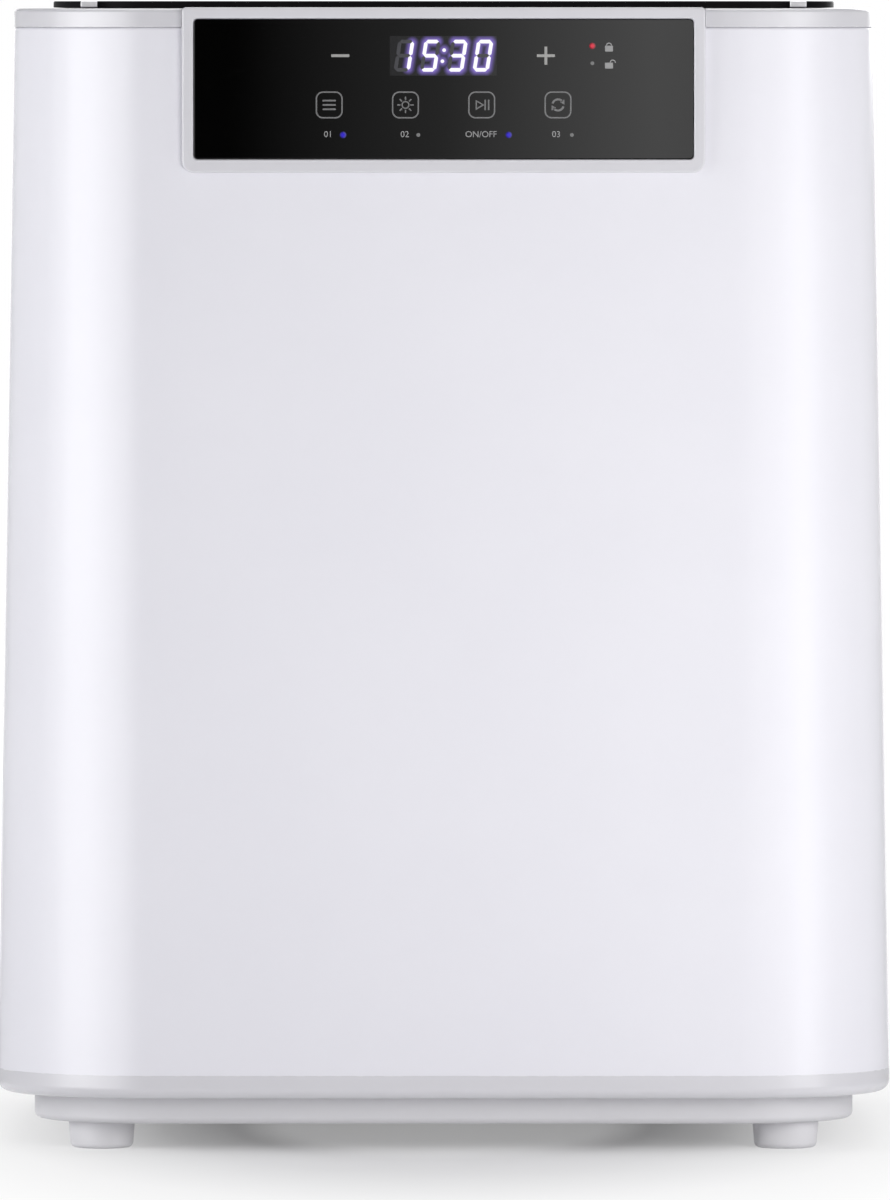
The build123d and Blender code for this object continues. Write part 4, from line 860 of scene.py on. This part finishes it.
# ---------------------------------------------------------------- clock display
# A four-digit seven-segment module behind a clear window in the paint. Lit bars are near white with a
# violet halo in the diffuser round them; the others show faintly.
bar_width, digit_width, digit_height, lean_angle = 0.00105, 0.0047, 0.0092, radians(9)
bar_gap, bar_lift, colon_rise, clock_x, clock_z = 0.00010, 0.00002, 0.0016, -0.0001, 0.31720
halo_reach, halo_fall = 0.0021, 1.6
half_high, half_wide = (digit_height - bar_width) / 2, (digit_width - bar_width) / 2
bar_places = {  # bar: x, z, length, upright
    "a": (0, half_high, 2 * half_wide, False), "g": (0, 0, 2 * half_wide, False),
    "d": (0, -half_high, 2 * half_wide, False), "b": (half_wide, half_high / 2, half_high, True),
    "c": (half_wide, -half_high / 2, half_high, True), "e": (-half_wide, -half_high / 2, half_high, True),
    "f": (-half_wide, half_high / 2, half_high, True),
}
bars_of = {"1": "bc", "5": "afgcd", "3": "abgcd", "0": "abcdef"}
lit, unlit, lit_lines = [], [], []
for digit, middle in zip("1530", (-0.0114, -0.00385, 0.00397, 0.01136)):
    for label, (dx, dz, length, stands) in bar_places.items():
        x, z = middle + dx + dz * sin(lean_angle), set_z + dz
        half = (length - bar_gap) / 2
        bar = front_sheet(x, z, half, bar_width / 2, bar_width * 0.45, 1, bar_lift)
        if stands:
            turned(bar, x, z, pi / 2 - lean_angle)
        if label in bars_of[digit]:
            reach = half - bar_width * 0.3
            ex, ez = (sin(lean_angle) * reach, cos(lean_angle) * reach) if stands else (reach, 0)
            lit_lines.append((x - ex, z - ez, x + ex, z + ez))
            lit.append(bar)
        else:
            unlit.append(bar)
for dz in (-colon_rise, colon_rise):
    x, z = dz * sin(lean_angle) + clock_x, set_z + dz
    mark = disc(x, z, 0.00052, 20)
    choose(mark)
    bpy.ops.transform.translate(value=(0, -bar_lift, 0))
    lit.append(close(mark))
    lit_lines.append((x, z, x, z))

diffuser = added(
    "display_window", bpy.ops.mesh.primitive_grid_add, (0.01540, 0.0057, 1), x_subdivisions=155,
    y_subdivisions=58, size=2, location=(clock_x, print_face + 0.00001, clock_z), rotation=upright,
)
halo = diffuser.data.attributes.new("halo", "FLOAT", "POINT")
for vertex, value in zip(diffuser.data.vertices, halo.data):
    nearest = 1.0
    for x0, z0, x1, z1 in lit_lines:
        run = (x1 - x0) ** 2 + (z1 - z0) ** 2
        t = ((vertex.co.x - x0) * (x1 - x0) + (vertex.co.z - z0) * (z1 - z0)) / run if run else 0
        t = min(1, max(0, t))
        nearest = min(nearest, hypot(vertex.co.x - x0 - t * (x1 - x0), vertex.co.z - z0 - t * (z1 - z0)))
    value.value = max(0.0, 1 - nearest / halo_reach) ** halo_fall
smoked, tree, spot = new_material("smoked display window")
around = node(tree, "Attribute", attribute_name="halo").outputs["Fac"]
smoke = blend_colour(tree, noise(tree, spot, 900.0, 4.0), (0.010, 0.010, 0.011), (0.015, 0.015, 0.016))
surface(tree, {
    "Base Color": smoke,
    "Emission Color": blend_colour(tree, around, (0.0, 0.0, 0.0), (0.30, 0.20, 0.78)),
    "Roughness": 0.06, "Emission Strength": 1.0,
})
printed("display_window", [diffuser], smoked, "display_dark")


def display_bars(name, bars, finish, socket, low, high, constants):
    """Sets of bars in a slightly uneven colour, on one socket of the shader."""
    material, tree, spot = new_material(finish)
    surface(tree, {socket: blend_colour(tree, noise(tree, spot, 1400.0, 2.0), low, high), **constants})
    printed(name, bars, material, "display_dark")


display_bars(
    "lit_bars", lit, "lit display bar", "Emission Color", (0.93, 0.90, 1.0), (1.0, 0.99, 1.0),
    {"Base Color": (0.05, 0.05, 0.05), "Roughness": 0.3, "Emission Strength": 1.0},
)
display_bars(
    "unlit_bars", unlit, "unlit display bar", "Base Color", (0.045, 0.045, 0.052), (0.060, 0.060, 0.068),
    {"Roughness": 0.15},
)

# ---------------------------------------------------------------- lid frame
# A thin black frame in satin ABS with a lip that drops into the chamber opening, a seat for the window
# and two grooves for the hinge rails.
lid_low, lid_top, lid_half, lid_middle, lid_depth = 0.3312, 0.3330, 0.1135, -0.0065, 0.1070
pane_low, seat_half, seat_corner, rail_half, rail_bend = 0.3303, 0.0917, 0.0107, 0.0024, -0.1105
below, above_lid = 0.32, lid_top + over
lid = rounded_plate("lid_moulding", lid_half, lid_depth, 0.0275, lid_low, lid_top, 24, lid_middle)
soften(lid, 0.0004, 4, rim_at(Z, lid_top))
combine(lid, [rounded_plate("lip", 0.094, 0.094, 0.013, 0.3264, lid_low + 0.0002)], "UNION")
cuts = [
    rounded_plate("seat", seat_half, seat_half, seat_corner, pane_low, above_lid),
    rounded_plate("under", seat_half, seat_half, seat_corner, below, 0.3283),
    rounded_plate("light", 0.0885, 0.0885, 0.0075, below, above_lid),
]
for side in (-1, 1):
    left, right = side * rail_x - rail_half, side * rail_x + rail_half
    cuts.append(brick("groove", left, right, -0.12, 0.11, 0.3318, above_lid))
    cuts.append(brick("nose", left, right, -0.12, rail_bend, 0.33, above_lid))
combine(lid, cuts)
lid_rim, inside = rim_at(Z, lid_top, 1.2), 0.093
soften(lid, 0.0003, 3, lambda e: lid_rim(e) and all(max(abs(v.co.x), abs(v.co.y)) < inside for v in e.verts))
finish_surface(lid)
lid_black = plastic(
    "satin black ABS", (0.003, 0.003, 0.0035), (0.006, 0.006, 0.0065), 0.42, 2600.0, 0.00001, 0.10,
    wear=(0.02, 0.02, 0.022), specular=0.07,
)
settle(lid, lid_black, "lid", "lid_black", "lid_frame")

# ---------------------------------------------------------------- lid window
# Cast acrylic, tinted deep amber to hold back the curing light, bonded into the frame's seat.
pane_half, pane_top = 0.09155, 0.3328
pane = rounded_plate("lid_pane", pane_half, pane_half, 0.01055, pane_low, pane_top, 16)
pane_rims = (rim_at(Z, pane_top), rim_at(Z, pane_low))
soften(pane, 0.0004, 3, lambda e: any(on_rim(e) for on_rim in pane_rims))
finish_surface(pane)
amber, tree, spot = new_material("deep amber acrylic")
marks = use_group(tree, handling, spot, Size=7.0)
cast = blend_colour(tree, noise(tree, spot, 12.0, 2.0), (0.62, 0.115, 0.012), (0.55, 0.095, 0.010))
surface(tree, {
    "Base Color": cast,
    "Roughness": graded(tree, marks["Dust"], 0.06, graded(tree, marks["Smear"], 0.05, 0.015)),
    "IOR": 1.49, "Transmission Weight": 0.92,
    "Normal": relief(tree, graded(tree, marks["Scratch"], 0.04, noise(tree, spot, 25.0, 1.0)), 0.00004, 0.4),
})
settle(pane, amber, "lid", "window_tinted", "lid_window")

# ---------------------------------------------------------------- hinge rails
# Two extruded aluminium strips let into the lid. Each is turned down over the lid's front edge and ends
# behind in an arm with a knuckle; satin anodised and brushed along its length.
hinge = (rail_x, 0.110, 0.3276)
rail = added(
    "hinge_rail_right", bpy.ops.mesh.primitive_cube_add, (0.0048, 0.214, 0.0012),
    size=1, location=(rail_x, lid_middle, 0.3324),
)
choose(rail)
bpy.ops.mesh.bisect(plane_co=(0, rail_bend, 0), plane_no=(0, 1, 0))
choose(rail, "FACE", lambda f: f.normal.z < -0.9 and f.calc_center_median().y < rail_bend)
push(0, 0, -0.0006)
choose(rail, "FACE", lambda f: f.normal.y > 0.9)
push(0, 0.0023, 0)
push(0, 0.0052, -0.0023)
bpy.ops.transform.resize(value=(1, 1, 1.6))
close(rail)
combine(rail, [rod("knuckle", hinge, 0.0031, 0.0048, X)], "UNION")
combine(rail, [rod("bore", hinge, 0.00105, 0.02, X, 32)])
soften(rail, 0.0003, 3, lambda e: sharp(e, 1.2) and all(v.co.y < 0.10 for v in e.verts))
finish_surface(rail)


def scaled(tree, vector, scale):
    """Scales a vector by a socket or a number."""
    return node(tree, "VectorMath", {0: vector, "Scale": scale}, operation="SCALE").outputs[0]


# Brushed metal: fine lines along one direction with a slow change in how deep they run.
brushing, given, result = shader_group("brushing", {"Fineness": 1.0}, ("Height", "Streak"))
fine = scaled(brushing, given["Vector"], given["Fineness"])
brushing.links.new(noise(brushing, fine, 1.0, 3.0, 0.6), result["Height"])
brushing.links.new(noise(brushing, scaled(brushing, fine, 0.12), 1.0, 2.0), result["Streak"])


def brushed(tree, spot, lines):
    """The brushing, its streaks along the direction with the smallest number in lines."""
    return use_group(tree, brushing, node(tree, "Mapping", {0: spot, "Scale": lines}).outputs[0])


def metal(name, colour, shade, rough=0.3, lines=(2600.0, 40.0, 2600.0), bump=0.000006, wear=None):
    """Brushed or rolled metal with smears and, if wear is given, worn edges."""
    material, tree, spot = new_material(name)
    brush = brushed(tree, spot, lines)
    tint = blend_colour(tree, brush["Streak"], colour, shade)
    if wear:
        tint = tinted(tree, use_group(tree, edges, spot)["Edge"], 0.7, tint, wear)
    gloss = graded(tree, brush["Streak"], 0.16, rough)
    gloss = graded(tree, use_group(tree, handling, spot)["Smear"], 0.06, gloss)
    surface(tree, {
        "Base Color": tint, "Metallic": 1.0, "Roughness": gloss,
        "Normal": relief(tree, brush["Height"], bump),
    })
    return material


rail_metal = metal(
    "satin anodised aluminium", (0.72, 0.72, 0.73), (0.62, 0.62, 0.635), 0.24, wear=(0.9, 0.9, 0.9)
)
rail_left = copied(rail, "hinge_rail_left", (-2 * rail_x, 0, 0))
for piece, name in ((rail, "lid_rail_right"), (rail_left, "lid_rail_left")):
    settle(piece, rail_metal, "lid", "rail_aluminium", name)

# ---------------------------------------------------------------- lid seal
# A soft black silicone cord pressed into the rim's groove, its top rounded where the lid lies on it.
seal_top = 0.33115
seal = rounded_plate("seal_ring", 0.0999, 0.0999, 0.0189, 0.3297, seal_top)
combine(seal, [rounded_plate("hole", 0.0971, 0.0971, 0.0161, 0.32, 0.34)])
soften(seal, 0.0010, 5, rim_at(Z, seal_top))
finish_surface(seal, 50)
seal_black = plastic(
    "black silicone", (0.018, 0.018, 0.019), (0.028, 0.028, 0.029), 0.55, 1400.0, 0.00002, 0.15
)
settle(seal, seal_black, "housing", "seal_rubber", "lid_seal")

# ---------------------------------------------------------------- hinge brackets and pins
# Pressed steel ears, nickel plated, that stand up through the rim's recesses, and the ground pins that
# each rail swings on. The screws under them hold to the rim.
def eased(name, body, slot, material, width, segments=2):
    """Takes over a plain solid's shape, joins its loose facets and rounds its sharp edges."""
    piece = bpy.data.objects.new(name + "_piece", nodes[name].data.copy())
    scene.collection.objects.link(piece)
    choose(piece)
    bpy.ops.mesh.remove_doubles(threshold=0.000002)
    bpy.ops.mesh.dissolve_limited(angle_limit=radians(0.5))
    close(piece)
    soften(piece, width, segments, lambda e: sharp(e, radians(35)))
    settle(finish_surface(piece, 30), material, body, slot, name)


hinge_nickel = metal(
    "nickel-plated steel", (0.62, 0.61, 0.59), (0.52, 0.515, 0.50), 0.22, (900.0, 60.0, 900.0),
    wear=(0.75, 0.74, 0.72),
)
eased("hinge_brackets", "housing", "hinge_steel", hinge_nickel, 0.00025)
pin_steel = metal("ground steel", (0.66, 0.66, 0.67), (0.56, 0.56, 0.575), 0.16, (80.0, 3000.0, 3000.0))
eased("hinge_pins", "housing", "shaft_steel", pin_steel, 0.00015)
dress(pin_steel, "motor_shaft")

# ---------------------------------------------------------------- lid magnet and sensor
# A nickel-coated disc magnet pressed into the lid, and under the rim the small sealed switch that it
# works when the lid is shut, so that the lamps go out as the lid is raised.
magnet_nickel = metal("bright nickel", (0.70, 0.68, 0.64), (0.60, 0.585, 0.55), 0.12, (700.0, 700.0, 90.0))
eased("lid_magnet", "lid", "magnet_nickel", magnet_nickel, 0.0002)
sensor_black = plastic(
    "black sensor nylon", (0.022, 0.022, 0.024), (0.035, 0.035, 0.037), 0.42, 2200.0, 0.00002
)
eased("lid_sensor", "housing", "sensor_plastic", sensor_black, 0.0003)

# ---------------------------------------------------------------- screws
# Pan-head machine screws with a cross recess, cold headed and zinc plated. One is made for each length
# and set down in each hole; those inside the base are left as the plain solids.
head_height, head_radius, tip_length, arm_length, arm_half = 0.0022, 0.0029, 0.0008, 0.0015, 0.00035


def pan_head_screw(length):
    """A screw that points up from a seat at the origin, its head below."""
    screw = rod("pan_head_screw", (0, 0, -head_height / 2), head_radius, head_height, Z, 40)
    soften(screw, 0.0012, 6, rim_at(Z, -head_height))
    choose(screw, "FACE", lambda f: f.normal.z > 0.9)
    bpy.ops.mesh.inset(thickness=0.0014)
    push(0, 0, length - tip_length)
    push(0, 0, tip_length)
    bpy.ops.transform.resize(value=(0.6, 0.6, 1))
    close(screw)
    arms = [
        brick("arm", -half_x, half_x, -half_y, half_y, -0.003, -head_height / 2)
        for half_x, half_y in ((arm_length, arm_half), (arm_half, arm_length))
    ]
    combine(screw, [combine(arms[0], [arms[1]], "UNION")])
    soften(screw, 0.00012, 2, lambda e: sharp(e) and all(v.co.z < -0.0010 for v in e.verts))
    return finish_surface(screw)


screw_zinc = metal(
    "zinc-plated steel", (0.56, 0.57, 0.585), (0.46, 0.465, 0.475), 0.26, (1500.0, 1500.0, 1500.0), 0.000004,
    (0.70, 0.70, 0.71),
)
floor_seat, facing_rear, facing_down = 0.0765, (pi / 2, 0, 0), (pi, 0, 0)
rear_places = [(x, shell_face(z) - screw_sunk, z) for x, z in screw_places]
floor_places = [(sx * 0.068, sy * 0.088, floor_seat) for sx, sy in signs]
floor_places += [(side * 0.030, 0, floor_seat) for side in (-1, 1)]
for name, length, places, turn in (
    ("fan_screws", 0.0162, rear_places[:4], facing_rear),
    ("inlet_screws", 0.006, rear_places[4:], facing_rear),
    ("floor_screws", 0.005, floor_places, facing_down),
):
    screw = pan_head_screw(length)
    group = joined(name + "_piece", [copied(screw, name + "_piece", place, turn) for place in places])
    settle(group, screw_zinc, "housing", "screw_steel", name)
    bpy.data.objects.remove(screw, do_unlink=True)
dress(screw_zinc, "foot_screws", "base_screws", "bracket_screws", "panel_screws", "board_screws")

# ---------------------------------------------------------------- chamber
# The curing chamber is lined with bright-rolled aluminium sheet, folded at the corners and pierced in
# front of the fan, over a floor of the same. It keeps the rolling lines and slight oil-canning.
lining, tree, spot = new_material("bright-rolled aluminium")
marks = use_group(tree, handling, spot, Size=12.0)
brush = brushed(tree, spot, (900.0, 900.0, 14.0))
tone = blend_colour(tree, brush["Streak"], (0.86, 0.86, 0.87), (0.80, 0.80, 0.815))
wave = relief(tree, noise(tree, spot, 11.0, 1.0), 0.0008, 0.35)
surface(tree, {
    "Base Color": tinted(tree, marks["Dust"], 0.3, tone, (0.55, 0.54, 0.52)), "Metallic": 1.0,
    "Roughness": graded(tree, marks["Dust"], 0.3, graded(tree, marks["Smear"], 0.10, 0.07)),
    "Normal": relief(tree, brush["Height"], 0.000002, Normal=wave),
})
dress(lining, "chamber_floor", "liner_front", "liner_rear", "liner_sides")

# ---------------------------------------------------------------- lamp bars
# Extruded aluminium channels, anodised satin, one in each corner of the chamber. They carry the boards
# and take the heat of the lamps.
bar_anodised = metal(
    "anodised extrusion", (0.70, 0.70, 0.715), (0.60, 0.60, 0.62), 0.30, (2400.0, 2400.0, 30.0), 0.000008,
    (0.85, 0.85, 0.86),
)
for corner in ("front_left", "front_right", "rear_left", "rear_right"):
    eased("led_bar_" + corner, "housing", "bar_aluminium", bar_anodised, 0.0003, 3)

# ---------------------------------------------------------------- boards
# Copper-clad laminate under solder mask: tracks show through as slightly raised lines, with tinned
# pads between them. White mask on the lamp boards, green on the others.
circuit, given, result = shader_group("circuit", {"Pitch": 1.0}, ("Track", "Pad", "Fibre"))
board = scaled(circuit, given["Vector"], given["Pitch"])
cells = {"Vector": board, "Scale": 110.0, "Randomness": 0.9}
areas = node(circuit, "TexVoronoi", cells, distance="CHEBYCHEV").outputs
tracks = []
for direction in "XYZ":
    waves = {"Vector": board, "Scale": 110.0, "Distortion": 0.0}
    lines = node(circuit, "TexWave", waves, bands_direction=direction, wave_profile="TRI").outputs["Fac"]
    tracks.append(math(circuit, "GREATER_THAN", lines, 0.62))
which = math(circuit, "GREATER_THAN", node(circuit, "SeparateColor", {0: areas["Color"]}).outputs[0], 0.5)
across = math(circuit, "MULTIPLY", which, tracks[0])
endways = math(circuit, "MAXIMUM", tracks[1], tracks[2])
endways = math(circuit, "MULTIPLY", math(circuit, "SUBTRACT", 1.0, which), endways)
circuit.links.new(math(circuit, "MAXIMUM", across, endways), result["Track"])
circuit.links.new(math(circuit, "LESS_THAN", areas["Distance"], 0.10), result["Pad"])
circuit.links.new(noise(circuit, board, 1900.0, 2.0), result["Fibre"])


def laminate(name, mask, track, pitch, parts_above=None):
    """Board under solder mask, with dark component bodies above a height where one is given."""
    material, tree, spot = new_material(name)
    look = use_group(tree, circuit, spot, Pitch=pitch)
    pad = math(tree, "MULTIPLY", look["Pad"], 0.9)
    tint = blend_colour(tree, pad, blend_colour(tree, look["Track"], mask, track), (0.62, 0.62, 0.60))
    if parts_above:
        height = node(tree, "SeparateXYZ", {0: spot}).outputs[2]
        body = math(tree, "GREATER_THAN", height, parts_above)
        case = blend_colour(tree, noise(tree, spot, 60.0, 2.0), (0.020, 0.020, 0.022), (0.055, 0.055, 0.06))
        tint = blend_colour(tree, body, tint, case)
        pad = math(tree, "MULTIPLY", pad, math(tree, "SUBTRACT", 1.0, body))
    ridge = graded(tree, look["Track"], 0.8, math(tree, "MULTIPLY", look["Fibre"], 0.2))
    surface(tree, {
        "Base Color": tint, "Metallic": pad, "Normal": relief(tree, ridge, 0.00003),
        "Roughness": graded(tree, use_group(tree, handling, spot)["Smear"], 0.1, 0.30),
    })
    return material


green, green_track = (0.012, 0.11, 0.045), (0.022, 0.19, 0.075)
dress(laminate("white solder mask", (0.78, 0.78, 0.77), (0.70, 0.70, 0.685), 1.0), "led_boards")
dress(laminate("green solder mask", green, green_track, 1.6, 0.0289), "main_board", "power_supply")
dress(laminate("green panel board", green, green_track, 2.2), "touch_board")

# ---------------------------------------------------------------- curing lamps
# Forty surface-mounted lamps: a white ceramic body with a domed clear lens over a violet-tinted chip.
# One is made, set in a row of ten, and the row is turned into each corner.
chip_half, chip_front, dome_front = 0.00175, -0.0016, -0.0022
chip = brick("lamp_body", -chip_half, chip_half, chip_front, -0.001, -chip_half, chip_half)
soften(chip, 0.00025, 2, runs_along_y)
soften(chip, 0.00012, 2, rim_at(Y, chip_front))
finish_surface(chip)
dome = rod("lamp_dome", (0, -0.0019, 0), 0.0014, 0.0006, Y, 24)
soften(dome, 0.0005, 4, rim_at(Y, dome_front))
finish_surface(dome, 50)
ceramic = plastic("white ceramic", (0.80, 0.79, 0.77), (0.72, 0.71, 0.69), 0.35, 5000.0, 0.000008, 0.05)
clear_dome, tree, spot = new_material("silicone lamp lens")
cloud = noise(tree, spot, 900.0, 3.0)
surface(tree, {
    "Base Color": blend_colour(tree, cloud, (0.62, 0.50, 0.80), (0.78, 0.74, 0.62)),
    "Roughness": graded(tree, cloud, 0.08, 0.04), "IOR": 1.41, "Transmission Weight": 0.35,
    "Normal": relief(tree, cloud, 0.00001),
})
bar_reach, lamp_low, lamp_pitch = 0.08524, 0.1065, 0.021
for source, name, material in ((chip, "lamp_bodies", ceramic), (dome, "lamp_lenses", clear_dome)):
    lamps = []
    for sx, sy, turn in ((1, -1, -3 * pi / 4), (1, 1, -pi / 4), (-1, 1, pi / 4), (-1, -1, 3 * pi / 4)):
        for n in range(10):
            place = (sx * bar_reach, sy * bar_reach, lamp_low + n * lamp_pitch)
            lamps.append(copied(source, name, place, (0, 0, turn)))
    settle(joined(name, lamps), material, "housing", "led_lens", "uv_leds")
    bpy.data.objects.remove(source, do_unlink=True)

# ---------------------------------------------------------------- turntable
# A small gear motor hangs under the chamber floor. Its shaft drives a moulded hub with a hexagon, and
# the clear acrylic platter lifts off the hexagon for cleaning.
motor_zinc = metal("zinc-plated can", (0.55, 0.555, 0.57), (0.45, 0.455, 0.47), 0.30, (60.0, 60.0, 1400.0))
dress(motor_zinc, "turntable_motor")
hub_black = plastic(
    "black acetal", (0.020, 0.020, 0.022), (0.030, 0.030, 0.033), 0.38, 2400.0, wear=(0.09, 0.09, 0.095)
)
eased("drive_hub", "turntable_drive", "hub_plastic", hub_black, 0.0002)
acrylic, tree, spot = new_material("clear acrylic")
marks = use_group(tree, handling, spot, Size=16.0)
swirl = graded(tree, marks["Scratch"], 0.5, noise(tree, spot, 260.0, 2.0))
surface(tree, {
    "Base Color": blend_colour(tree, noise(tree, spot, 30.0), (0.93, 0.95, 0.96), (0.88, 0.91, 0.92)),
    "Roughness": graded(tree, marks["Dust"], 0.3, graded(tree, marks["Smear"], 0.08, 0.05)),
    "IOR": 1.49, "Transmission Weight": 0.85, "Normal": relief(tree, swirl, 0.00001),
})
eased("turntable_platter", "platter", "platter_acrylic", acrylic, 0.0002)

# ---------------------------------------------------------------- cooling fan and grille
# An 80 mm axial fan draws air from the base through the chamber's pierced lining and blows it out at
# the back. Frame and rotor are black glass-filled plastic; the grille clips in from outside.
fan_black = plastic(
    "black glass-filled plastic", (0.014, 0.014, 0.015), (0.026, 0.026, 0.028), 0.36, 1300.0, 0.00002,
    wear=(0.07, 0.07, 0.072),
)
eased("fan_frame", "housing", "fan_plastic", fan_black, 0.0003)
eased("fan_impeller", "fan_rotor", "fan_plastic", fan_black, 0.00025)
eased("fan_grille", "housing", "rim_plastic", rim_grey, 0.0003, 3)
duct_foam, tree, spot = new_material("open-cell foam")
pores = node(tree, "TexVoronoi", {"Vector": spot, "Scale": 900.0}).outputs["Distance"]
surface(tree, {
    "Base Color": blend_colour(tree, pores, (0.03, 0.03, 0.032), (0.075, 0.075, 0.08)),
    "Roughness": 0.95, "Sheen Weight": 0.2, "Normal": relief(tree, pores, 0.0004),
})
dress(duct_foam, "fan_duct")

# ---------------------------------------------------------------- mains inlet and fuse
# A steel plate screwed over the shell's cut-out carries a three-pin appliance inlet in black nylon with
# a pull-out fuse drawer above the socket. The pins are brass, the fuse a glass tube with plated caps.
plate_steel = metal(
    "satin stainless sheet", (0.58, 0.585, 0.595), (0.50, 0.505, 0.515), 0.30, (40.0, 2200.0, 2200.0),
    wear=(0.75, 0.75, 0.76),
)
eased("inlet_plate", "housing", "plate_steel", plate_steel, 0.0003)
inlet_black = plastic(
    "black nylon", (0.011, 0.011, 0.012), (0.020, 0.020, 0.022), 0.40, 2100.0, 0.000025,
    wear=(0.06, 0.06, 0.062),
)
eased("inlet_body", "housing", "inlet_plastic", inlet_black, 0.00035, 3)
eased("fuse_drawer", "fuse_tray", "inlet_plastic", inlet_black, 0.00025)
pin_brass = metal(
    "nickelled brass", (0.72, 0.66, 0.50), (0.60, 0.53, 0.36), 0.20, (1800.0, 60.0, 1800.0),
    wear=(0.80, 0.62, 0.28),
)
eased("inlet_pins", "housing", "contact_brass", pin_brass, 0.0003, 3)

fuse_x, fuse_y, fuse_z, fuse_end = 0.0385, 0.118393, 0.0595, 0.010


def fuse_rod(name, radius, length, shift=0.0, vertices=32):
    """A rod on the fuse's own axis, shifted along it."""
    return rod(name, (fuse_x + shift, fuse_y, fuse_z), radius, length, X, vertices)


tube = finish_surface(combine(fuse_rod("fuse_tube", 0.0023, 0.0182), [fuse_rod("bore", 0.0018, 0.03)]))
wire = finish_surface(fuse_rod("fuse_wire", 0.00012, 0.0176, vertices=10))
caps = []
for side in (-1, 1):
    cap = fuse_rod("fuse_cap", 0.0025, 0.005, side * (fuse_end - 0.0025))
    soften(cap, 0.0004, 3, sharp)
    combine(cap, [fuse_rod("seat", 0.00231, 0.0052, side * (fuse_end - 0.0035))])
    caps.append(finish_surface(cap))
cap_nickel = metal("plated fuse cap", (0.66, 0.66, 0.65), (0.56, 0.56, 0.55), 0.18, (60.0, 900.0, 900.0))
fuse_clear, tree, spot = new_material("fuse glass")
drawn = noise(tree, node(tree, "Mapping", {0: spot, "Scale": (20.0, 900.0, 900.0)}).outputs[0], 1.0, 2.0)
surface(tree, {
    "Base Color": blend_colour(tree, drawn, (0.95, 0.97, 0.96), (0.90, 0.93, 0.92)),
    "Roughness": graded(tree, drawn, 0.04, 0.02), "IOR": 1.5, "Transmission Weight": 0.95,
    "Normal": relief(tree, drawn, 0.000005),
})
for piece, material in ((tube, fuse_clear), (wire, cap_nickel), (caps[0], cap_nickel), (caps[1], cap_nickel)):
    settle(piece, material, "fuse_tray", "fuse_glass", "fuse")

# ---------------------------------------------------------------- power switch
# A snap-in rocker switch beside the inlet. The rocker is glossy black with the usual line and ring for
# on and off, pad printed in white.
eased("switch_body", "housing", "inlet_plastic", inlet_black, 0.0003, 3)
rocker_black = plastic(
    "glossy black rocker", (0.012, 0.012, 0.013), (0.018, 0.018, 0.020), 0.16, 2600.0, 0.000004, 0.14,
    (0.06, 0.06, 0.062),
)
eased("switch_rocker", "rocker", "rocker_plastic", rocker_black, 0.0004, 3)
switch_x, crown_y, crown_z = 0.068, 0.127364, 0.050418
line_half, ring_off, slope = 0.00035, 0.0042, radians(15.92)
line_mark = brick(
    "on_mark", switch_x - line_half, switch_x + line_half, crown_y - 0.00002, crown_y + 0.00003,
    0.0525, 0.0561,
)
soften(line_mark, 0.00012, 2, runs_along_y)
ring_mark = rod("off_mark", (0, 0, 0), 0.0018, 0.00005, Y, 40)
combine(ring_mark, [rod("inside", (0, 0, 0), 0.00115, 0.001, Y, 40)])
ring_at = (switch_x, crown_y + ring_off * sin(slope), crown_z - ring_off * cos(slope))
ring_set = copied(ring_mark, "off_mark_piece", ring_at, (slope, 0, 0))
bpy.data.objects.remove(ring_mark, do_unlink=True)
mark_white, tree, spot = new_material("white pad print")
worn = noise(tree, spot, 2400.0, 4.0, 0.7)
surface(tree, {
    "Base Color": blend_colour(tree, worn, (0.66, 0.66, 0.65), (0.80, 0.80, 0.79)), "IOR": 1.45,
    "Roughness": graded(tree, worn, 0.2, 0.3), "Normal": relief(tree, worn, 0.000004),
})
for mark in (line_mark, ring_set):
    settle(mark, mark_white, "rocker", "rocker_plastic")

# ---------------------------------------------------------------- base plate, posts and panel inside
# Galvanised sheet closes the case above the tray and carries turned steel posts for the chamber floor.
# Behind the panel sit the display module, the lamps' lenses and the springs that sense a fingertip.
galvanised, tree, spot = new_material("galvanised sheet")
spangle = node(tree, "TexVoronoi", {"Vector": spot, "Scale": 130.0}).outputs["Color"]
facet = node(tree, "SeparateColor", {0: spangle}).outputs
surface(tree, {
    "Base Color": blend_colour(tree, facet[0], (0.52, 0.53, 0.55), (0.66, 0.67, 0.69)), "Metallic": 1.0,
    "Roughness": graded(tree, facet[1], 0.15, 0.32),
    "Normal": relief(tree, noise(tree, spot, 900.0, 3.0), 0.00001),
})
dress(galvanised, "base_plate")
post_steel = metal("turned steel", (0.58, 0.58, 0.59), (0.48, 0.48, 0.49), 0.28, (60.0, 60.0, 2600.0))
dress(post_steel, "floor_posts")
case_grey = plastic("grey display case", (0.05, 0.05, 0.053), (0.07, 0.07, 0.074), 0.45, 1900.0, 0.00002)
dress(case_grey, "display_module")
lens_milky = plastic("milky lamp lens", (0.62, 0.62, 0.66), (0.54, 0.54, 0.58), 0.18, 4200.0, 0.000004)
dress(lens_milky, "indicator_leds")
spring_steel = metal("sprung steel", (0.60, 0.60, 0.61), (0.50, 0.50, 0.51), 0.24, (1800.0, 120.0, 1800.0))
dress(spring_steel, "touch_springs")
